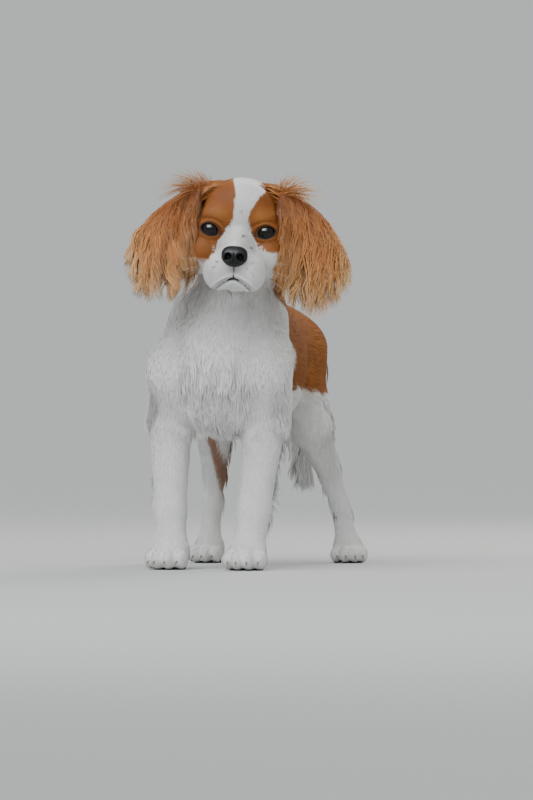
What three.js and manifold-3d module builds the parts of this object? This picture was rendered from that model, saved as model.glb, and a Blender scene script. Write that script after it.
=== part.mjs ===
// A cavalier king charles spaniel, young, standing square-on with its head turned a little to its left.
// Millimetres, +Z up. The dog looks along -Y and its own left is +X. Every named place below is written
// in the dog's design frame, whose origin lies on the floor between the forefeet; the last lines move the
// whole group so that the part's origin is under the middle of the model.
import * as THREE from "three";
import { mergeVertices } from "three/addons/utils/BufferGeometryUtils.js";
import Module from "manifold-3d";

const wasm = await Module();
wasm.setup();

// Driving dimensions.
const GAP = 0.3; // between touching pieces
const WITHERS = 300; // floor to the top of the shoulders
const BRISKET = 134; // floor to the underside of the chest
const EYE_APART = 57.5; // between the middles of the eyes
const EYE_RADIUS = 11.5;
const FOOT_TOP = 25; // height at which a leg is parted from its paw
const HOCK_SPLIT = 78; // height at which a hind leg is parted from its hock

const v = (x, y, z) => new THREE.Vector3(x, y, z);
const mix = THREE.MathUtils.lerp;
const clamp = THREE.MathUtils.clamp;
const rad = THREE.MathUtils.degToRad;

// Seeded draws, so that every build gives the same dog.
let seed = 20;
function draw(low = -1, high = 1) {
  seed = (seed * 1664525 + 1013904223) % 4294967296;
  return mix(low, high, seed / 4294967296);
}

// Distance fields. Each takes a point and gives a length below zero inside.
function ball(centre, radii) {
  return (p) => {
    const q = p.clone().sub(centre);
    const near = q.clone().divide(radii).length();
    const steep = q.clone().divide(radii).divide(radii).length();
    return steep < 1e-9 ? -Math.min(radii.x, radii.y, radii.z) : (near * (near - 1)) / steep;
  };
}

function limb(start, end, startRadius, endRadius) {
  const along = end.clone().sub(start);
  return (p) => {
    const q = p.clone().sub(start);
    const share = clamp(q.dot(along) / along.lengthSq(), 0, 1);
    return q.addScaledVector(along, -share).length() - mix(startRadius, endRadius, share);
  };
}

function blend(soft, fields) {
  return (p) => {
    let least = fields[0](p);
    for (const field of fields.slice(1)) {
      const next = field(p);
      const share = clamp(0.5 + (0.5 * (next - least)) / soft, 0, 1);
      least = mix(next, least, share) - soft * share * (1 - share);
    }
    return least;
  };
}

function slopeOf(field, p) {
  const step = 0.5;
  const rise = (x, y, z) => field(p.clone().add(v(x, y, z))) - field(p.clone().sub(v(x, y, z)));
  return v(rise(step, 0, 0), rise(0, step, 0), rise(0, 0, step)).normalize();
}

// How far it is from a point inside to where the field turns positive.
function reachOf(field, from, direction, most) {
  const step = 2;
  let far = 0;
  while (far < most && field(from.clone().addScaledVector(direction, far)) < 0) far += step;
  if (far >= most) return most;
  let near = Math.max(0, far - step);
  for (let halving = 0; halving < 12; halving++) {
    const middle = (near + far) / 2;
    if (field(from.clone().addScaledVector(direction, middle)) < 0) near = middle;
    else far = middle;
  }
  return near;
}

// A closed skin over rings of points. A ring of one point is a pole, and an open end gets a fan.
function skinOver(rings) {
  const points = rings.flat();
  const starts = rings.map((_, i) => rings.slice(0, i).reduce((sum, ring) => sum + ring.length, 0));
  const faces = [];
  for (let i = 0; i + 1 < rings.length; i++) {
    const [here, there] = [rings[i].length, rings[i + 1].length];
    for (let k = 0; k < Math.max(here, there); k++) {
      const [a, b] = [starts[i] + (k % here), starts[i] + ((k + 1) % here)];
      const [c, d] = [starts[i + 1] + (k % there), starts[i + 1] + ((k + 1) % there)];
      if (a !== b) faces.push(a, b, c);
      if (c !== d) faces.push(b, d, c);
    }
  }
  for (const [i, turned] of [[0, true], [rings.length - 1, false]]) {
    const count = rings[i].length;
    for (let k = 1; k + 1 < count; k++) {
      const [a, b, c] = [starts[i], starts[i] + k, starts[i] + k + 1];
      faces.push(a, ...(turned ? [c, b] : [b, c]));
    }
  }
  const geometry = new THREE.BufferGeometry().setFromPoints(points);
  return geometry.setIndex(faces);
}

// Rings of points pushed out from an axis, each in the plane of `across` and `up`, to the skin of a field.
function wrap({ field, stations, sides, across, up, reach, poles = [null, null] }) {
  const rings = stations.map((centre) =>
    Array.from({ length: sides }, (_, k) => {
      const angle = (2 * Math.PI * k) / sides;
      const way = across.clone().multiplyScalar(Math.cos(angle)).addScaledVector(up, Math.sin(angle));
      return centre.clone().addScaledVector(way, Math.max(0.5, reachOf(field, centre, way, reach)));
    }),
  );
  const [first, last] = [stations[0], stations.at(-1)];
  const ahead = last.clone().sub(first).normalize();
  const pole = (from, way) => [from.clone().addScaledVector(way, reachOf(field, from, way, reach))];
  if (poles[0]) rings.unshift(pole(first, ahead.clone().negate()));
  if (poles[1]) rings.push(pole(last, ahead));
  return solidOf(skinOver(rings));
}

// Solids, joined and cut by manifold-3d.
function solidOf(geometry, matrix = new THREE.Matrix4()) {
  const plain = geometry.clone().applyMatrix4(matrix);
  plain.deleteAttribute("normal");
  plain.deleteAttribute("uv");
  const merged = mergeVertices(plain, 1e-4);
  const make = (triVerts) =>
    new wasm.Manifold(
      new wasm.Mesh({ numProp: 3, vertProperties: merged.attributes.position.array, triVerts }),
    );
  const faces = new Uint32Array(merged.index.array);
  const made = make(faces);
  return made.volume() > 0 ? made : make(faces.reverse());
}

const joined = (solids) => solids.reduce((sum, solid) => sum.add(solid));
const cutBy = (solid, cutters) => cutters.reduce((left, cutter) => left.subtract(cutter), solid);
const largest = (solid) =>
  solid.decompose().reduce((most, piece) => (piece.volume() > most.volume() ? piece : most));

function egg(centre, radii, detail = 14, grow = 0) {
  const size = new THREE.Matrix4().makeScale(radii.x + grow, radii.y + grow, radii.z + grow);
  const place = new THREE.Matrix4().makeTranslation(centre).multiply(size);
  return solidOf(new THREE.SphereGeometry(1, detail, Math.round(detail * 0.7)), place);
}

// A large block on the side of a plane that its normal points to.
function beyond(point, normal, size = 400) {
  const turn = new THREE.Quaternion().setFromUnitVectors(v(0, 0, 1), normal.clone().normalize());
  const centre = point.clone().addScaledVector(normal.clone().normalize(), size / 2);
  const place = new THREE.Matrix4().compose(centre, turn, v(1, 1, 1));
  return solidOf(new THREE.BoxGeometry(size, size, size), place);
}

// One lock of hair: a flat tapered blade with a ridge, rooted under the skin, that lifts, waves and sags.
function lock({ root, out, lie, length, width, sink = 3.5, lift = 3, sag = 0, wave = 0, phase = 0, steps = 4 }) {
  const thick = width * 0.34;
  const side = lie.clone().cross(out).normalize();
  const rings = [];
  for (let i = 0; i < steps; i++) {
    const s = i / steps;
    const rise = -sink + (sink + lift) * (1 - (1 - s) ** 2);
    const swing = wave * s * Math.sin(phase + s * 7);
    const centre = root.clone().addScaledVector(lie, length * s).addScaledVector(out, rise);
    centre.addScaledVector(side, swing).add(v(0, 0, -sag * s * s));
    const swell = (0.5 + 1.8 * s * (1 - s)) * Math.sqrt(1 - s ** 3);
    const half = 0.5 * width * swell;
    const ridge = thick * swell;
    rings.push([
      centre.clone().addScaledVector(side, -half).addScaledVector(out, -0.3 * ridge),
      centre.clone().addScaledVector(side, half).addScaledVector(out, -0.3 * ridge),
      centre.clone().addScaledVector(out, 0.7 * ridge),
    ]);
  }
  const tip = root.clone().addScaledVector(lie, length).addScaledVector(out, lift);
  tip.addScaledVector(side, wave * Math.sin(phase + 7)).add(v(0, 0, -sag));
  rings.push([tip]);
  return solidOf(skinOver(rings));
}

// A lock that grows where a ray from inside a field leaves it, and lies along a given way.
function lockOnSkin(field, from, way, lie, form) {
  const root = from.clone().addScaledVector(way, reachOf(field, from, way, 200));
  const out = slopeOf(field, root);
  const flat = lie.clone().addScaledVector(out, -lie.dot(out)).normalize();
  return lock({ root, out, lie: flat, ...form });
}

// The head's own frame: its origin is between the eyes, +X its left, +Y back and +Z up.
const HEAD_AT = v(47, -68, 354);
const HEAD_YAW = rad(12);
const HEAD_ROLL = rad(3.6);
const headTurn = new THREE.Quaternion()
  .setFromAxisAngle(v(0, 0, 1), HEAD_YAW)
  .multiply(new THREE.Quaternion().setFromAxisAngle(v(0, 1, 0), HEAD_ROLL));
const headFrame = new THREE.Matrix4().compose(HEAD_AT, headTurn, v(1, 1, 1));
const headBack = headFrame.clone().invert();
const fromHead = (p) => p.clone().applyMatrix4(headFrame);

// The head: a round skull, a deep stop, a short tapered muzzle and well cushioned lips.
const bothSides = (make) => [make(1), make(-1)];
const headForms = blend(9, [
  ball(v(0, 42, 13), v(49, 55, 45)),
  ball(v(0, 8, 24), v(37, 24, 28)),
  ...bothSides((side) => ball(v(side * 32, 20, -20), v(21, 30, 27))),
  limb(v(0, 0, -20), v(0, -27, -27), 20, 15),
  limb(v(0, 12, -42), v(0, -22, -51), 22, 12),
  ...bothSides((side) => ball(v(side * 16, -21, -43), v(16.5, 19, 20))),
  limb(v(0, -2, -6), v(0, -32, -17), 10, 8),
]);

// The trunk, from breastbone to rump, with the masses of the shoulders and thighs.
const NECK_ROOT = v(14, 24, 232);
const NECK_TOP = v(35, -4, 338);
const neckForms = limb(NECK_ROOT, NECK_TOP, 63, 45);
const skullForms = blend(16, [headForms, (p) => neckForms(fromHead(p))]);
const trunkForms = blend(18, [
  ball(v(9, 40, 218), v(68, 84, WITHERS - 218)),
  ball(v(6, 110, 216), v(71, 96, 216 - BRISKET + 2)),
  ball(v(3, 185, 230), v(58, 80, 60)),
  ball(v(0, 236, 236), v(52, 46, 54)),
  ball(v(14, -12, 224), v(46, 38, 50)),
  ball(v(9, 18, 188), v(60, 46, 46)),
  limb(v(18, 14, 270), v(8, 84, 252), 48, 44),
  ...bothSides((side) => limb(v(9 + side * 34, 30, 268), v(9 + side * 49, -4, 212), 34, 29)),
  ...bothSides((side) => limb(v(9 + side * 49, -4, 212), v(7 + side * 44, 26, 176), 29, 24)),
  ...bothSides((side) => limb(v(side * 30, 236, 235), v(side * 46, 206, 182), 36, 24)),
  ...bothSides((side) => limb(v(side * 32, 240, 226), v(side * 44, 234, 186), 32, 24)),
]);
const fleshOf = blend(16, [
  trunkForms,
  neckForms,
  (p) => headForms(p.clone().applyMatrix4(headBack)),
]);

// Where the body is parted: across the throat, across the base of the neck, and round each limb's top.
const THROAT = fromHead(v(0, 22, -62));
const THROAT_WAY = v(0, 0.812, -0.583).applyQuaternion(headTurn);
const NECK_BASE = v(11, -18, 272);
const NECK_BASE_WAY = v(0.1, -0.67, 0.74).normalize();

function makeTrunk(grow = 0) {
  const [front, rear, count] = [-46, 272, 16];
  const stations = Array.from({ length: count }, (_, i) => {
    const share = 0.5 - 0.5 * Math.cos((Math.PI * (i + 0.35)) / (count - 0.3));
    const y = mix(front, rear, share);
    return v(mix(9, 0, share), y, mix(214, 238, share));
  });
  const grown = (p) => fleshOf(p) - grow;
  return wrap({
    field: grown,
    stations,
    sides: 24,
    across: v(1, 0, 0),
    up: v(0, 0, 1),
    reach: 118,
    poles: [true, true],
  }).subtract(beyond(NECK_BASE, NECK_BASE_WAY));
}

function makeNeck(grow = 0) {
  const along = NECK_TOP.clone().sub(NECK_ROOT).normalize();
  const across = v(0, 1, 0).cross(along).normalize();
  const stations = [0, 24, 48, 72, 96, 120, 142].map((far) =>
    NECK_ROOT.clone().addScaledVector(along, far),
  );
  const tube = wrap({
    field: (p) => fleshOf(p) - grow,
    stations,
    sides: 22,
    across,
    up: along.clone().cross(across),
    reach: 100,
  });
  return cutBy(tube, [
    beyond(NECK_BASE.clone().addScaledVector(NECK_BASE_WAY, GAP), NECK_BASE_WAY.clone().negate()),
    beyond(THROAT.clone().addScaledVector(THROAT_WAY, GAP), THROAT_WAY.clone().negate()),
  ]);
}

// Head pieces are made in the head's frame.
const EYES = bothSides((side) => v((side * EYE_APART) / 2, 4, 0));
const NOSE_AT = v(0, -39, -27);
const NOSE_SIZE = v(13.5, 8.5, 10.5);

function makeSkull(grow = 0) {
  const count = 23;
  const field = (p) => skullForms(p) - grow;
  const stations = Array.from({ length: count }, (_, i) => {
    const y = mix(-38, 88, ((i + 0.2) / count) ** 1.25);
    return v(0, y, mix(-33, 4, clamp((y + 30) / 50, 0, 1)));
  });
  return wrap({
    field,
    stations,
    sides: 28,
    across: v(1, 0, 0),
    up: v(0, 0, 1),
    reach: 74,
    poles: [true, true],
  }).subtract(beyond(v(0, 22, -62), v(0, 0.812, -0.583)));
}

// The line of the mouth: a thin arched slot between the lips, with the groove under the nose.
function makeMouthSlot() {
  const [halfWidth, arch, thin] = [22, 14, 1.4];
  const edge = (x) => -50 - arch * (Math.abs(x) / halfWidth) ** 1.6;
  const outline = new THREE.Shape();
  const steps = 10;
  for (let i = 0; i <= steps; i++) {
    const x = mix(-halfWidth, halfWidth, i / steps);
    if (i === 0) outline.moveTo(x, edge(x) + thin / 2);
    else outline.lineTo(x, edge(x) + thin / 2);
  }
  for (let i = steps; i >= 0; i--) {
    const x = mix(-halfWidth, halfWidth, i / steps);
    outline.lineTo(x, edge(x) - thin / 2);
  }
  const slot = new THREE.ExtrudeGeometry(outline, { depth: 46, bevelEnabled: false, steps: 1 });
  const stand = new THREE.Matrix4().makeRotationX(Math.PI / 2);
  const place = new THREE.Matrix4().makeTranslation(0, -8, 0).multiply(stand);
  const groove = new THREE.BoxGeometry(1, 6, 16);
  return joined([
    solidOf(slot, place),
    solidOf(groove, new THREE.Matrix4().makeTranslation(0, -40, -43)),
  ]);
}

// Lids: a mound of flesh over each eyeball, opened by an almond whose outer corner sits higher.
function lidsOf(eye) {
  const side = Math.sign(eye.x);
  const mound = egg(eye.clone().add(v(0, 0.4, 0)), v(14.6, 14, 13.6), 14);
  const turn = new THREE.Quaternion().setFromEuler(new THREE.Euler(0, -side * rad(9), side * rad(12)));
  const almond = new THREE.CylinderGeometry(1, 1, 30, 16).scale(8.9, 1, 6.9);
  const place = new THREE.Matrix4().compose(eye.clone().add(v(side, -15, 0.4)), turn, v(1, 1, 1));
  return { mound, opening: solidOf(almond, place) };
}

function makeHead(skull) {
  const lids = EYES.map(lidsOf);
  const whole = joined([skull, ...lids.map((lid) => lid.mound)]);
  return largest(
    cutBy(whole, [
      ...lids.map((lid) => lid.opening),
      ...EYES.map((eye) => egg(eye, v(1, 1, 1), 14, EYE_RADIUS + 2 * GAP - 1)),
      egg(NOSE_AT, NOSE_SIZE, 12, GAP),
      makeMouthSlot(),
    ]),
  );
}

function makeNose() {
  const nostrils = bothSides((side) => egg(v(side * 6.2, -47.5, -28), v(3.4, 4, 3), 8));
  const slits = bothSides((side) => egg(v(side * 10.4, -44.5, -29.6), v(3, 4, 1.1), 6));
  return cutBy(egg(NOSE_AT, NOSE_SIZE, 12), [...nostrils, ...slits]);
}

// Ears: a leather flap, cupped towards the cheek, under long waved locks that flare into a bell.
const EAR_WIDE = v(0.86, 0.51, 0);
function earSheet(along, acrossShare) {
  const path = new THREE.CatmullRomCurve3([
    v(27, 30, 36),
    v(45, 28, 45),
    v(60, 25, 37),
    v(72, 23, 12),
    v(79, 22, -16),
  ]);
  const half = 12 + 22 * Math.sin(0.7 * Math.PI * clamp(along, 0, 1)) - 5 * along ** 3;
  const turnIn = clamp(along * 1.7 - 0.35, 0, 1);
  const wide = v(0, 1, -0.1).lerp(EAR_WIDE, turnIn).normalize();
  const onward = path.getTangent(clamp(along, 0, 1));
  const out = wide.clone().cross(onward).normalize();
  const cup = mix(7, 6, turnIn) * acrossShare ** 2;
  const point = path.getPoint(clamp(along, 0, 1)).addScaledVector(wide, half * acrossShare);
  return { point: point.addScaledVector(out, cup), out, onward, wide };
}

const BELL = v(79, 24, -40);
function bellEdge(degrees) {
  const angle = rad(degrees);
  return BELL.clone()
    .addScaledVector(EAR_WIDE, 47 * Math.sin(angle))
    .add(v(0, 0, -46 * Math.cos(angle)));
}

function makeEarFlap() {
  const [steps, sides, thick] = [7, 8, 4.2];
  const rings = [];
  for (let i = 0; i < steps; i++) {
    const along = i / (steps - 1);
    const taper = Math.sqrt(clamp(1.12 - along, 0, 1));
    rings.push(
      Array.from({ length: sides }, (_, k) => {
        const angle = (2 * Math.PI * k) / sides;
        const at = earSheet(along, Math.cos(angle) * Math.min(1, taper * 1.3));
        return at.point.addScaledVector(at.out, thick * Math.sin(angle) * (0.4 + 0.8 * taper));
      }),
    );
  }
  return solidOf(skinOver(rings));
}

function earLock(along, acrossShare, { front, length, width, lift, sag }) {
  const at = earSheet(along, acrossShare);
  const out = at.out.clone().multiplyScalar(front);
  const aim = bellEdge(acrossShare * 82 + draw(-4, 4)).addScaledVector(EAR_WIDE, 3 * draw());
  const toEdge = aim.clone().sub(at.point);
  const far = Math.min(length * draw(0.92, 1.06), toEdge.length());
  const lie = toEdge.normalize();
  const flat = lie.clone().addScaledVector(out, -lie.dot(out) * 0.8).normalize();
  return lock({
    root: at.point,
    out,
    lie: flat,
    length: far,
    width: width * draw(0.9, 1.1),
    sink: 0.5,
    lift: lift + draw(-0.5, 0.5),
    sag,
    wave: draw(2, 4),
    phase: draw(0, 6),
  });
}

const EAR_TIERS = [
  { along: 0.1, count: 3, front: -1, length: 30, width: 15, lift: 6, sag: 9 },
  { along: 0.3, count: 3, front: -1, length: 50, width: 21, lift: 7, sag: 16 },
  { along: 0.58, count: 5, front: -1, length: 60, width: 21, lift: 6, sag: 6 },
  { along: 0.92, count: 6, front: -1, length: 84, width: 21, lift: 3, sag: 0 },
  { along: 0.84, count: 4, front: 1, length: 86, width: 23, lift: 3, sag: 0 },
  { along: 0.48, count: 3, front: 1, length: 66, width: 22, lift: 4, sag: 6 },
];

function makeEar(side, plain, skull) {
  const locks = [];
  for (const tier of EAR_TIERS) {
    for (let i = 0; i < tier.count; i++) {
      const share = mix(-0.9, 0.9, i / (tier.count - 1));
      locks.push(earLock(tier.along, share, { ...tier, lift: tier.lift + 2.5 * (i % 2) }));
    }
  }
  const base = egg(v(41, 24, 32), v(13, 17, 17), 9);
  const whole = joined([base, makeEarFlap(), ...(plain ? [makeEarBell()] : locks)]);
  const placed = side > 0 ? whole : whole.mirror([1, 0, 0]);
  return largest(placed.subtract(skull));
}

// The plain form of the ear's hair: one smooth bell out to the tips.
function makeEarBell() {
  const stations = [-80, -66, -50, -34, -18, -2, 12, 24].map((z) => v(mix(80, 68, (z + 80) / 104), 24, z));
  const bell = blend(14, [ball(v(80, 24, -36), v(41, 22, 50)), ball(v(66, 24, 18), v(16, 22, 30))]);
  return wrap({
    field: bell,
    stations,
    sides: 14,
    across: v(1, 0, 0),
    up: v(0, 1, 0),
    reach: 60,
    poles: [true, true],
  });
}

// Legs. Each is a path of joints from the elbow or knee down to the pastern, wrapped in level rings.
const LEGS = {
  foreleg_left: {
    joints: [v(50, 28, 176), v(49, 27, 150), v(43, 8, 62), v(39, -2, 18)],
    radii: [15, 25, 20, 20],
  },
  foreleg_right: {
    joints: [v(-45, 32, 176), v(-53, 30, 150), v(-50, 14, 62), v(-46, 6, 18)],
    radii: [15, 25, 19.5, 19.5],
  },
  shank_left: {
    joints: [v(46, 208, 178), v(51, 216, 148), v(57, 278, 94), v(66, 284, 62), v(75, 284, 18)],
    radii: [14, 24, 14.5, 13, 14.5],
    calf: limb(v(46, 240, 174), v(56, 268, 112), 21, 13),
  },
  shank_right: {
    joints: [v(-46, 198, 178), v(-53, 202, 148), v(-66, 246, 94), v(-69, 250, 62), v(-71, 248, 18)],
    radii: [14, 24, 14.5, 13, 14.5],
    calf: limb(v(-48, 230, 174), v(-64, 244, 112), 21, 13),
  },
};

function legField({ joints, radii, calf }) {
  const bones = joints.slice(1).map((joint, i) => limb(joints[i], joint, radii[i], radii[i + 1]));
  const heel = calf ? [calf, ball(joints[2].clone().add(v(0, 11, 6)), v(9, 8, 11))] : [];
  return blend(8, [...bones, ...heel]);
}

function makeLeg(leg, low, top, count, grow = 0) {
  const field = legField(leg);
  const middleAt = (z) => {
    const i = leg.joints.findIndex((joint) => joint.z <= z);
    const [above, below] = [leg.joints[Math.max(0, i - 1)], leg.joints[Math.max(1, i)]];
    const share = clamp((above.z - z) / (above.z - below.z), 0, 1);
    const back = leg.calf ? 14 * clamp((z - 110) / 50, 0, 1) : 0;
    return above.clone().lerp(below, share).add(v(0, back, 0)).setZ(z);
  };
  const stations = Array.from({ length: count }, (_, i) => middleAt(mix(low, top, i / (count - 1))));
  return wrap({
    field: (p) => field(p) - grow,
    stations,
    sides: 12,
    across: v(1, 0, 0),
    up: v(0, 1, 0),
    reach: 60,
  });
}

// Paws: four toes and a pad under a rounded knuckle, flat where they meet the floor.
const PAWS = {
  forepaw_left: { ankle: LEGS.foreleg_left.joints[3], size: 1.08, yaw: rad(4) },
  forepaw_right: { ankle: LEGS.foreleg_right.joints[3], size: 1.08, yaw: rad(-6) },
  hindpaw_left: { ankle: LEGS.shank_left.joints[4], size: 0.94, yaw: rad(20) },
  hindpaw_right: { ankle: LEGS.shank_right.joints[4], size: 0.94, yaw: rad(-12) },
};
const TOES = [
  { x: -15, y: -13, wide: 8 },
  { x: -5.4, y: -21, wide: 8.2 },
  { x: 5.4, y: -21, wide: 8.2 },
  { x: 15, y: -13, wide: 8 },
];

function makePaw({ ankle, size, yaw }) {
  const toes = TOES.map(({ x, y, wide }) => egg(v(x, y, 10), v(wide, 13, 11.5), 6));
  const claws = TOES.map(({ x, y }) => {
    const turn = new THREE.Quaternion().setFromEuler(new THREE.Euler(rad(118), 0, 0));
    const place = new THREE.Matrix4().compose(v(x, y - 13.5, 8), turn, v(1, 1, 1));
    return solidOf(new THREE.ConeGeometry(1.9, 9, 4), place);
  });
  const knuckle = egg(v(0, -2, 15), v(18.5, 19, 18), 9);
  const whole = joined([knuckle, ...toes, ...claws]);
  const turn = new THREE.Quaternion().setFromAxisAngle(v(0, 0, 1), yaw);
  const place = new THREE.Matrix4().compose(v(ankle.x, ankle.y, 0), turn, v(size, size, size));
  const matrix = place.elements;
  const placed = whole.transform(Array.from(matrix));
  return cutBy(placed, [
    beyond(v(ankle.x, ankle.y, 0), v(0, 0, -1)),
    beyond(v(ankle.x, ankle.y, FOOT_TOP - GAP), v(0, 0, 1)),
  ]);
}

// Shoulders and thighs are parted from the trunk by an egg-shaped cut.
const SHOULDERS = {
  shoulder_left: { centre: v(76, 6, 206), radii: v(42, 50, 74) },
  shoulder_right: { centre: v(-58, 8, 206), radii: v(42, 50, 74) },
};
const THIGHS = {
  thigh_left: { centre: v(64, 226, 206), radii: v(44, 56, 66) },
  thigh_right: { centre: v(-64, 224, 206), radii: v(44, 56, 66) },
};

// The tail hangs behind the thighs, and its feathering falls to the left.
const TAIL_PATH = new THREE.CatmullRomCurve3([
  v(0, 262, 262),
  v(0, 288, 254),
  v(3, 302, 222),
  v(8, 311, 178),
  v(14, 314, 138),
  v(18, 314, 112),
]);

function makeTailCore() {
  const [steps, sides] = [9, 6];
  const rings = [];
  for (let i = 0; i < steps; i++) {
    const share = i / (steps - 1);
    const [centre, onward] = [TAIL_PATH.getPoint(share), TAIL_PATH.getTangent(share)];
    const across = v(1, 0, 0).cross(onward).normalize();
    const radius = mix(12, 4, share);
    rings.push(
      Array.from({ length: sides }, (_, k) => {
        const angle = (2 * Math.PI * k) / sides;
        return centre
          .clone()
          .addScaledVector(across, radius * Math.cos(angle))
          .add(v(radius * Math.sin(angle), 0, 0));
      }),
    );
  }
  return solidOf(skinOver(rings));
}

function makeTail(plain) {
  const locks = [];
  const rows = plain ? 0 : 6;
  for (let i = 0; i < rows; i++) {
    const share = mix(0.2, 0.98, i / (rows - 1));
    const [centre, onward] = [TAIL_PATH.getPoint(share), TAIL_PATH.getTangent(share)];
    for (const degrees of [-60, 10, 75]) {
      const angle = rad(degrees + draw(-14, 14));
      const out = v(Math.sin(angle), Math.cos(angle), 0);
      const flat = out.clone().addScaledVector(onward, -out.dot(onward)).normalize();
      const lie = onward.clone().addScaledVector(out, 0.3).add(v(0.1, 0, -0.4)).normalize();
      locks.push(
        lock({
          root: centre.clone().addScaledVector(flat, mix(8, 2, share)),
          out: flat,
          lie,
          length: draw(44, 54),
          width: draw(13, 17),
          lift: draw(2, 5),
          wave: draw(1, 3),
          phase: draw(0, 6),
        }),
      );
    }
  }
  const core = plain ? [makeTailCore(), makeTailPlume()] : [makeTailCore()];
  return joined([...core, ...locks]);
}

// The plain form of the tail's feathering: one soft plume out to the tips.
function makeTailPlume() {
  const stations = [250, 230, 205, 180, 155, 130, 105, 82, 66].map((z) => v(mix(22, 2, (z - 66) / 184), 312, z));
  return wrap({
    field: limb(v(2, 304, 240), v(20, 314, 84), 14, 20),
    stations,
    sides: 10,
    across: v(1, 0, 0),
    up: v(0, 1, 0),
    reach: 60,
    poles: [true, true],
  });
}

// Locks down the chest, widest over the breastbone and longest at the brisket.
function chestLocks(field) {
  const locks = [];
  const rows = [242, 220, 200, 181];
  rows.forEach((z, row) => {
    const count = row % 2 ? 6 : 5;
    for (let i = 0; i < count; i++) {
      const angle = rad(mix(-48, 48, i / (count - 1)) + draw(-3, 3));
      const way = v(Math.sin(angle), -Math.cos(angle), 0);
      locks.push(
        lockOnSkin(field, v(12, 22, z), way, v(0.25 * Math.sin(angle), 0, -1), {
          length: draw(40, 48),
          width: draw(15, 19),
          lift: 2 + 2 * (i % 2) + draw(0, 1),
          wave: draw(2, 3.5),
          phase: draw(0, 6),
        }),
      );
    }
  });
  return locks;
}

// A fringe under the belly.
function bellyLocks(field) {
  const locks = [];
  for (let i = 0; i < 5; i++) {
    for (const side of [-1, 1]) {
      const from = v(side * 16 + 4, mix(62, 174, i / 4), 210);
      locks.push(
        lockOnSkin(field, from, v(side * 0.15, 0, -1).normalize(), v(0, 0.8, -0.5), {
          length: draw(26, 32),
          width: draw(14, 17),
          lift: draw(5, 8),
          sag: 4,
        }),
      );
    }
  }
  return locks;
}

// Feathering behind a leg, between two heights.
function featherLocks(field, leg, low, high, count, length, fan) {
  const locks = [];
  for (let i = 0; i < count; i++) {
    const z = mix(low, high, i / (count - 1));
    const joint = leg.joints.findIndex((place) => place.z <= z);
    const [above, below] = [leg.joints[joint - 1], leg.joints[joint]];
    const middle = above.clone().lerp(below, (above.z - z) / (above.z - below.z));
    for (const degrees of fan) {
      const angle = rad(degrees + draw(-8, 8));
      const way = v(Math.sin(angle), Math.cos(angle), 0);
      locks.push(
        lockOnSkin(field, middle, way, v(0.3 * Math.sin(angle), 0.45, -1), {
          length: length * draw(0.9, 1.1),
          width: draw(9, 12),
          lift: draw(4, 7),
          steps: 3,
        }),
      );
    }
  }
  return locks;
}

// Breeches: locks down the back edge of the thigh.
function thighLocks(side) {
  const locks = [];
  for (let i = 0; i < 3; i++) {
    for (const lean of [-0.25, 0.45]) {
      const from = v(side * 40, 236, mix(182, 218, i / 2));
      const way = v(side * lean, 1, 0).normalize();
      locks.push(
        lockOnSkin(fleshOf, from, way, v(side * 0.1, 0.25, -1), {
          length: draw(36, 44),
          width: draw(15, 18),
          lift: draw(3, 6),
        }),
      );
    }
  }
  return locks;
}

// Assembly.
const PLAIN = false;
const skull = makeSkull();
const skullGrown = makeSkull(GAP);
const headPieces = {
  head: makeHead(skull),
  nose: makeNose(),
  eye_left: egg(EYES[0], v(1, 1, 1), 14, EYE_RADIUS - 1),
  eye_right: egg(EYES[1], v(1, 1, 1), 14, EYE_RADIUS - 1),
};
headPieces.ear_left = makeEar(1, PLAIN, skullGrown);
headPieces.ear_right = makeEar(-1, PLAIN, skullGrown);

const trunk = makeTrunk();
const trunkGrown = makeTrunk(GAP);
const bodyPieces = {};
const limbCuts = [];
for (const [name, { centre, radii }] of Object.entries({ ...SHOULDERS, ...THIGHS })) {
  bodyPieces[name] = largest(trunk.intersect(egg(centre, radii, 14)));
  limbCuts.push(egg(centre, radii, 14, GAP));
}
const legsGrown = [];
for (const [name, leg] of Object.entries(LEGS)) {
  const top = leg.joints[0].z;
  const field = legField(leg);
  const feathers = name.startsWith("foreleg")
    ? featherLocks(field, leg, 56, 138, 5, 30, [-35, 25])
    : featherLocks(field, leg, 103, 132, 3, 23, [-30, 20]);
  const hind = name.startsWith("shank");
  const low = hind ? HOCK_SPLIT : FOOT_TOP;
  const rings = hind ? 7 : 10;
  const bare = makeLeg(leg, low, top, rings);
  legsGrown.push(makeLeg(leg, low, top, rings, GAP));
  const feathered = PLAIN ? bare : joined([bare, ...feathers]);
  const below = beyond(v(0, 100, low), v(0, 0, -1), 900);
  bodyPieces[name] = largest(feathered.subtract(trunkGrown).subtract(below));
  if (hind) bodyPieces[name.replace("shank", "hock")] = makeLeg(leg, FOOT_TOP, HOCK_SPLIT - GAP, 5);
}
for (const side of PLAIN ? [] : [1, -1]) {
  const name = side > 0 ? "thigh_left" : "thigh_right";
  const { centre, radii } = THIGHS[name];
  const torsoSide = trunkGrown.subtract(egg(centre, radii, 14));
  const breeches = joined(thighLocks(side)).subtract(torsoSide);
  bodyPieces[name] = largest(cutBy(bodyPieces[name].add(breeches), legsGrown));
}
const floor = beyond(v(0, 150, 0), v(0, 0, -1), 900);
for (const [name, paw] of Object.entries(PAWS)) bodyPieces[name] = makePaw(paw);
const frill = PLAIN ? [] : [cutBy(joined([...chestLocks(fleshOf), ...bellyLocks(fleshOf)]), legsGrown)];
bodyPieces.torso = largest(
  cutBy(joined([trunk, ...frill]), [...limbCuts, beyond(NECK_BASE, NECK_BASE_WAY)]),
);
bodyPieces.neck = largest(makeNeck());
bodyPieces.tail = largest(makeTail(PLAIN).subtract(trunkGrown).subtract(floor));

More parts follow.
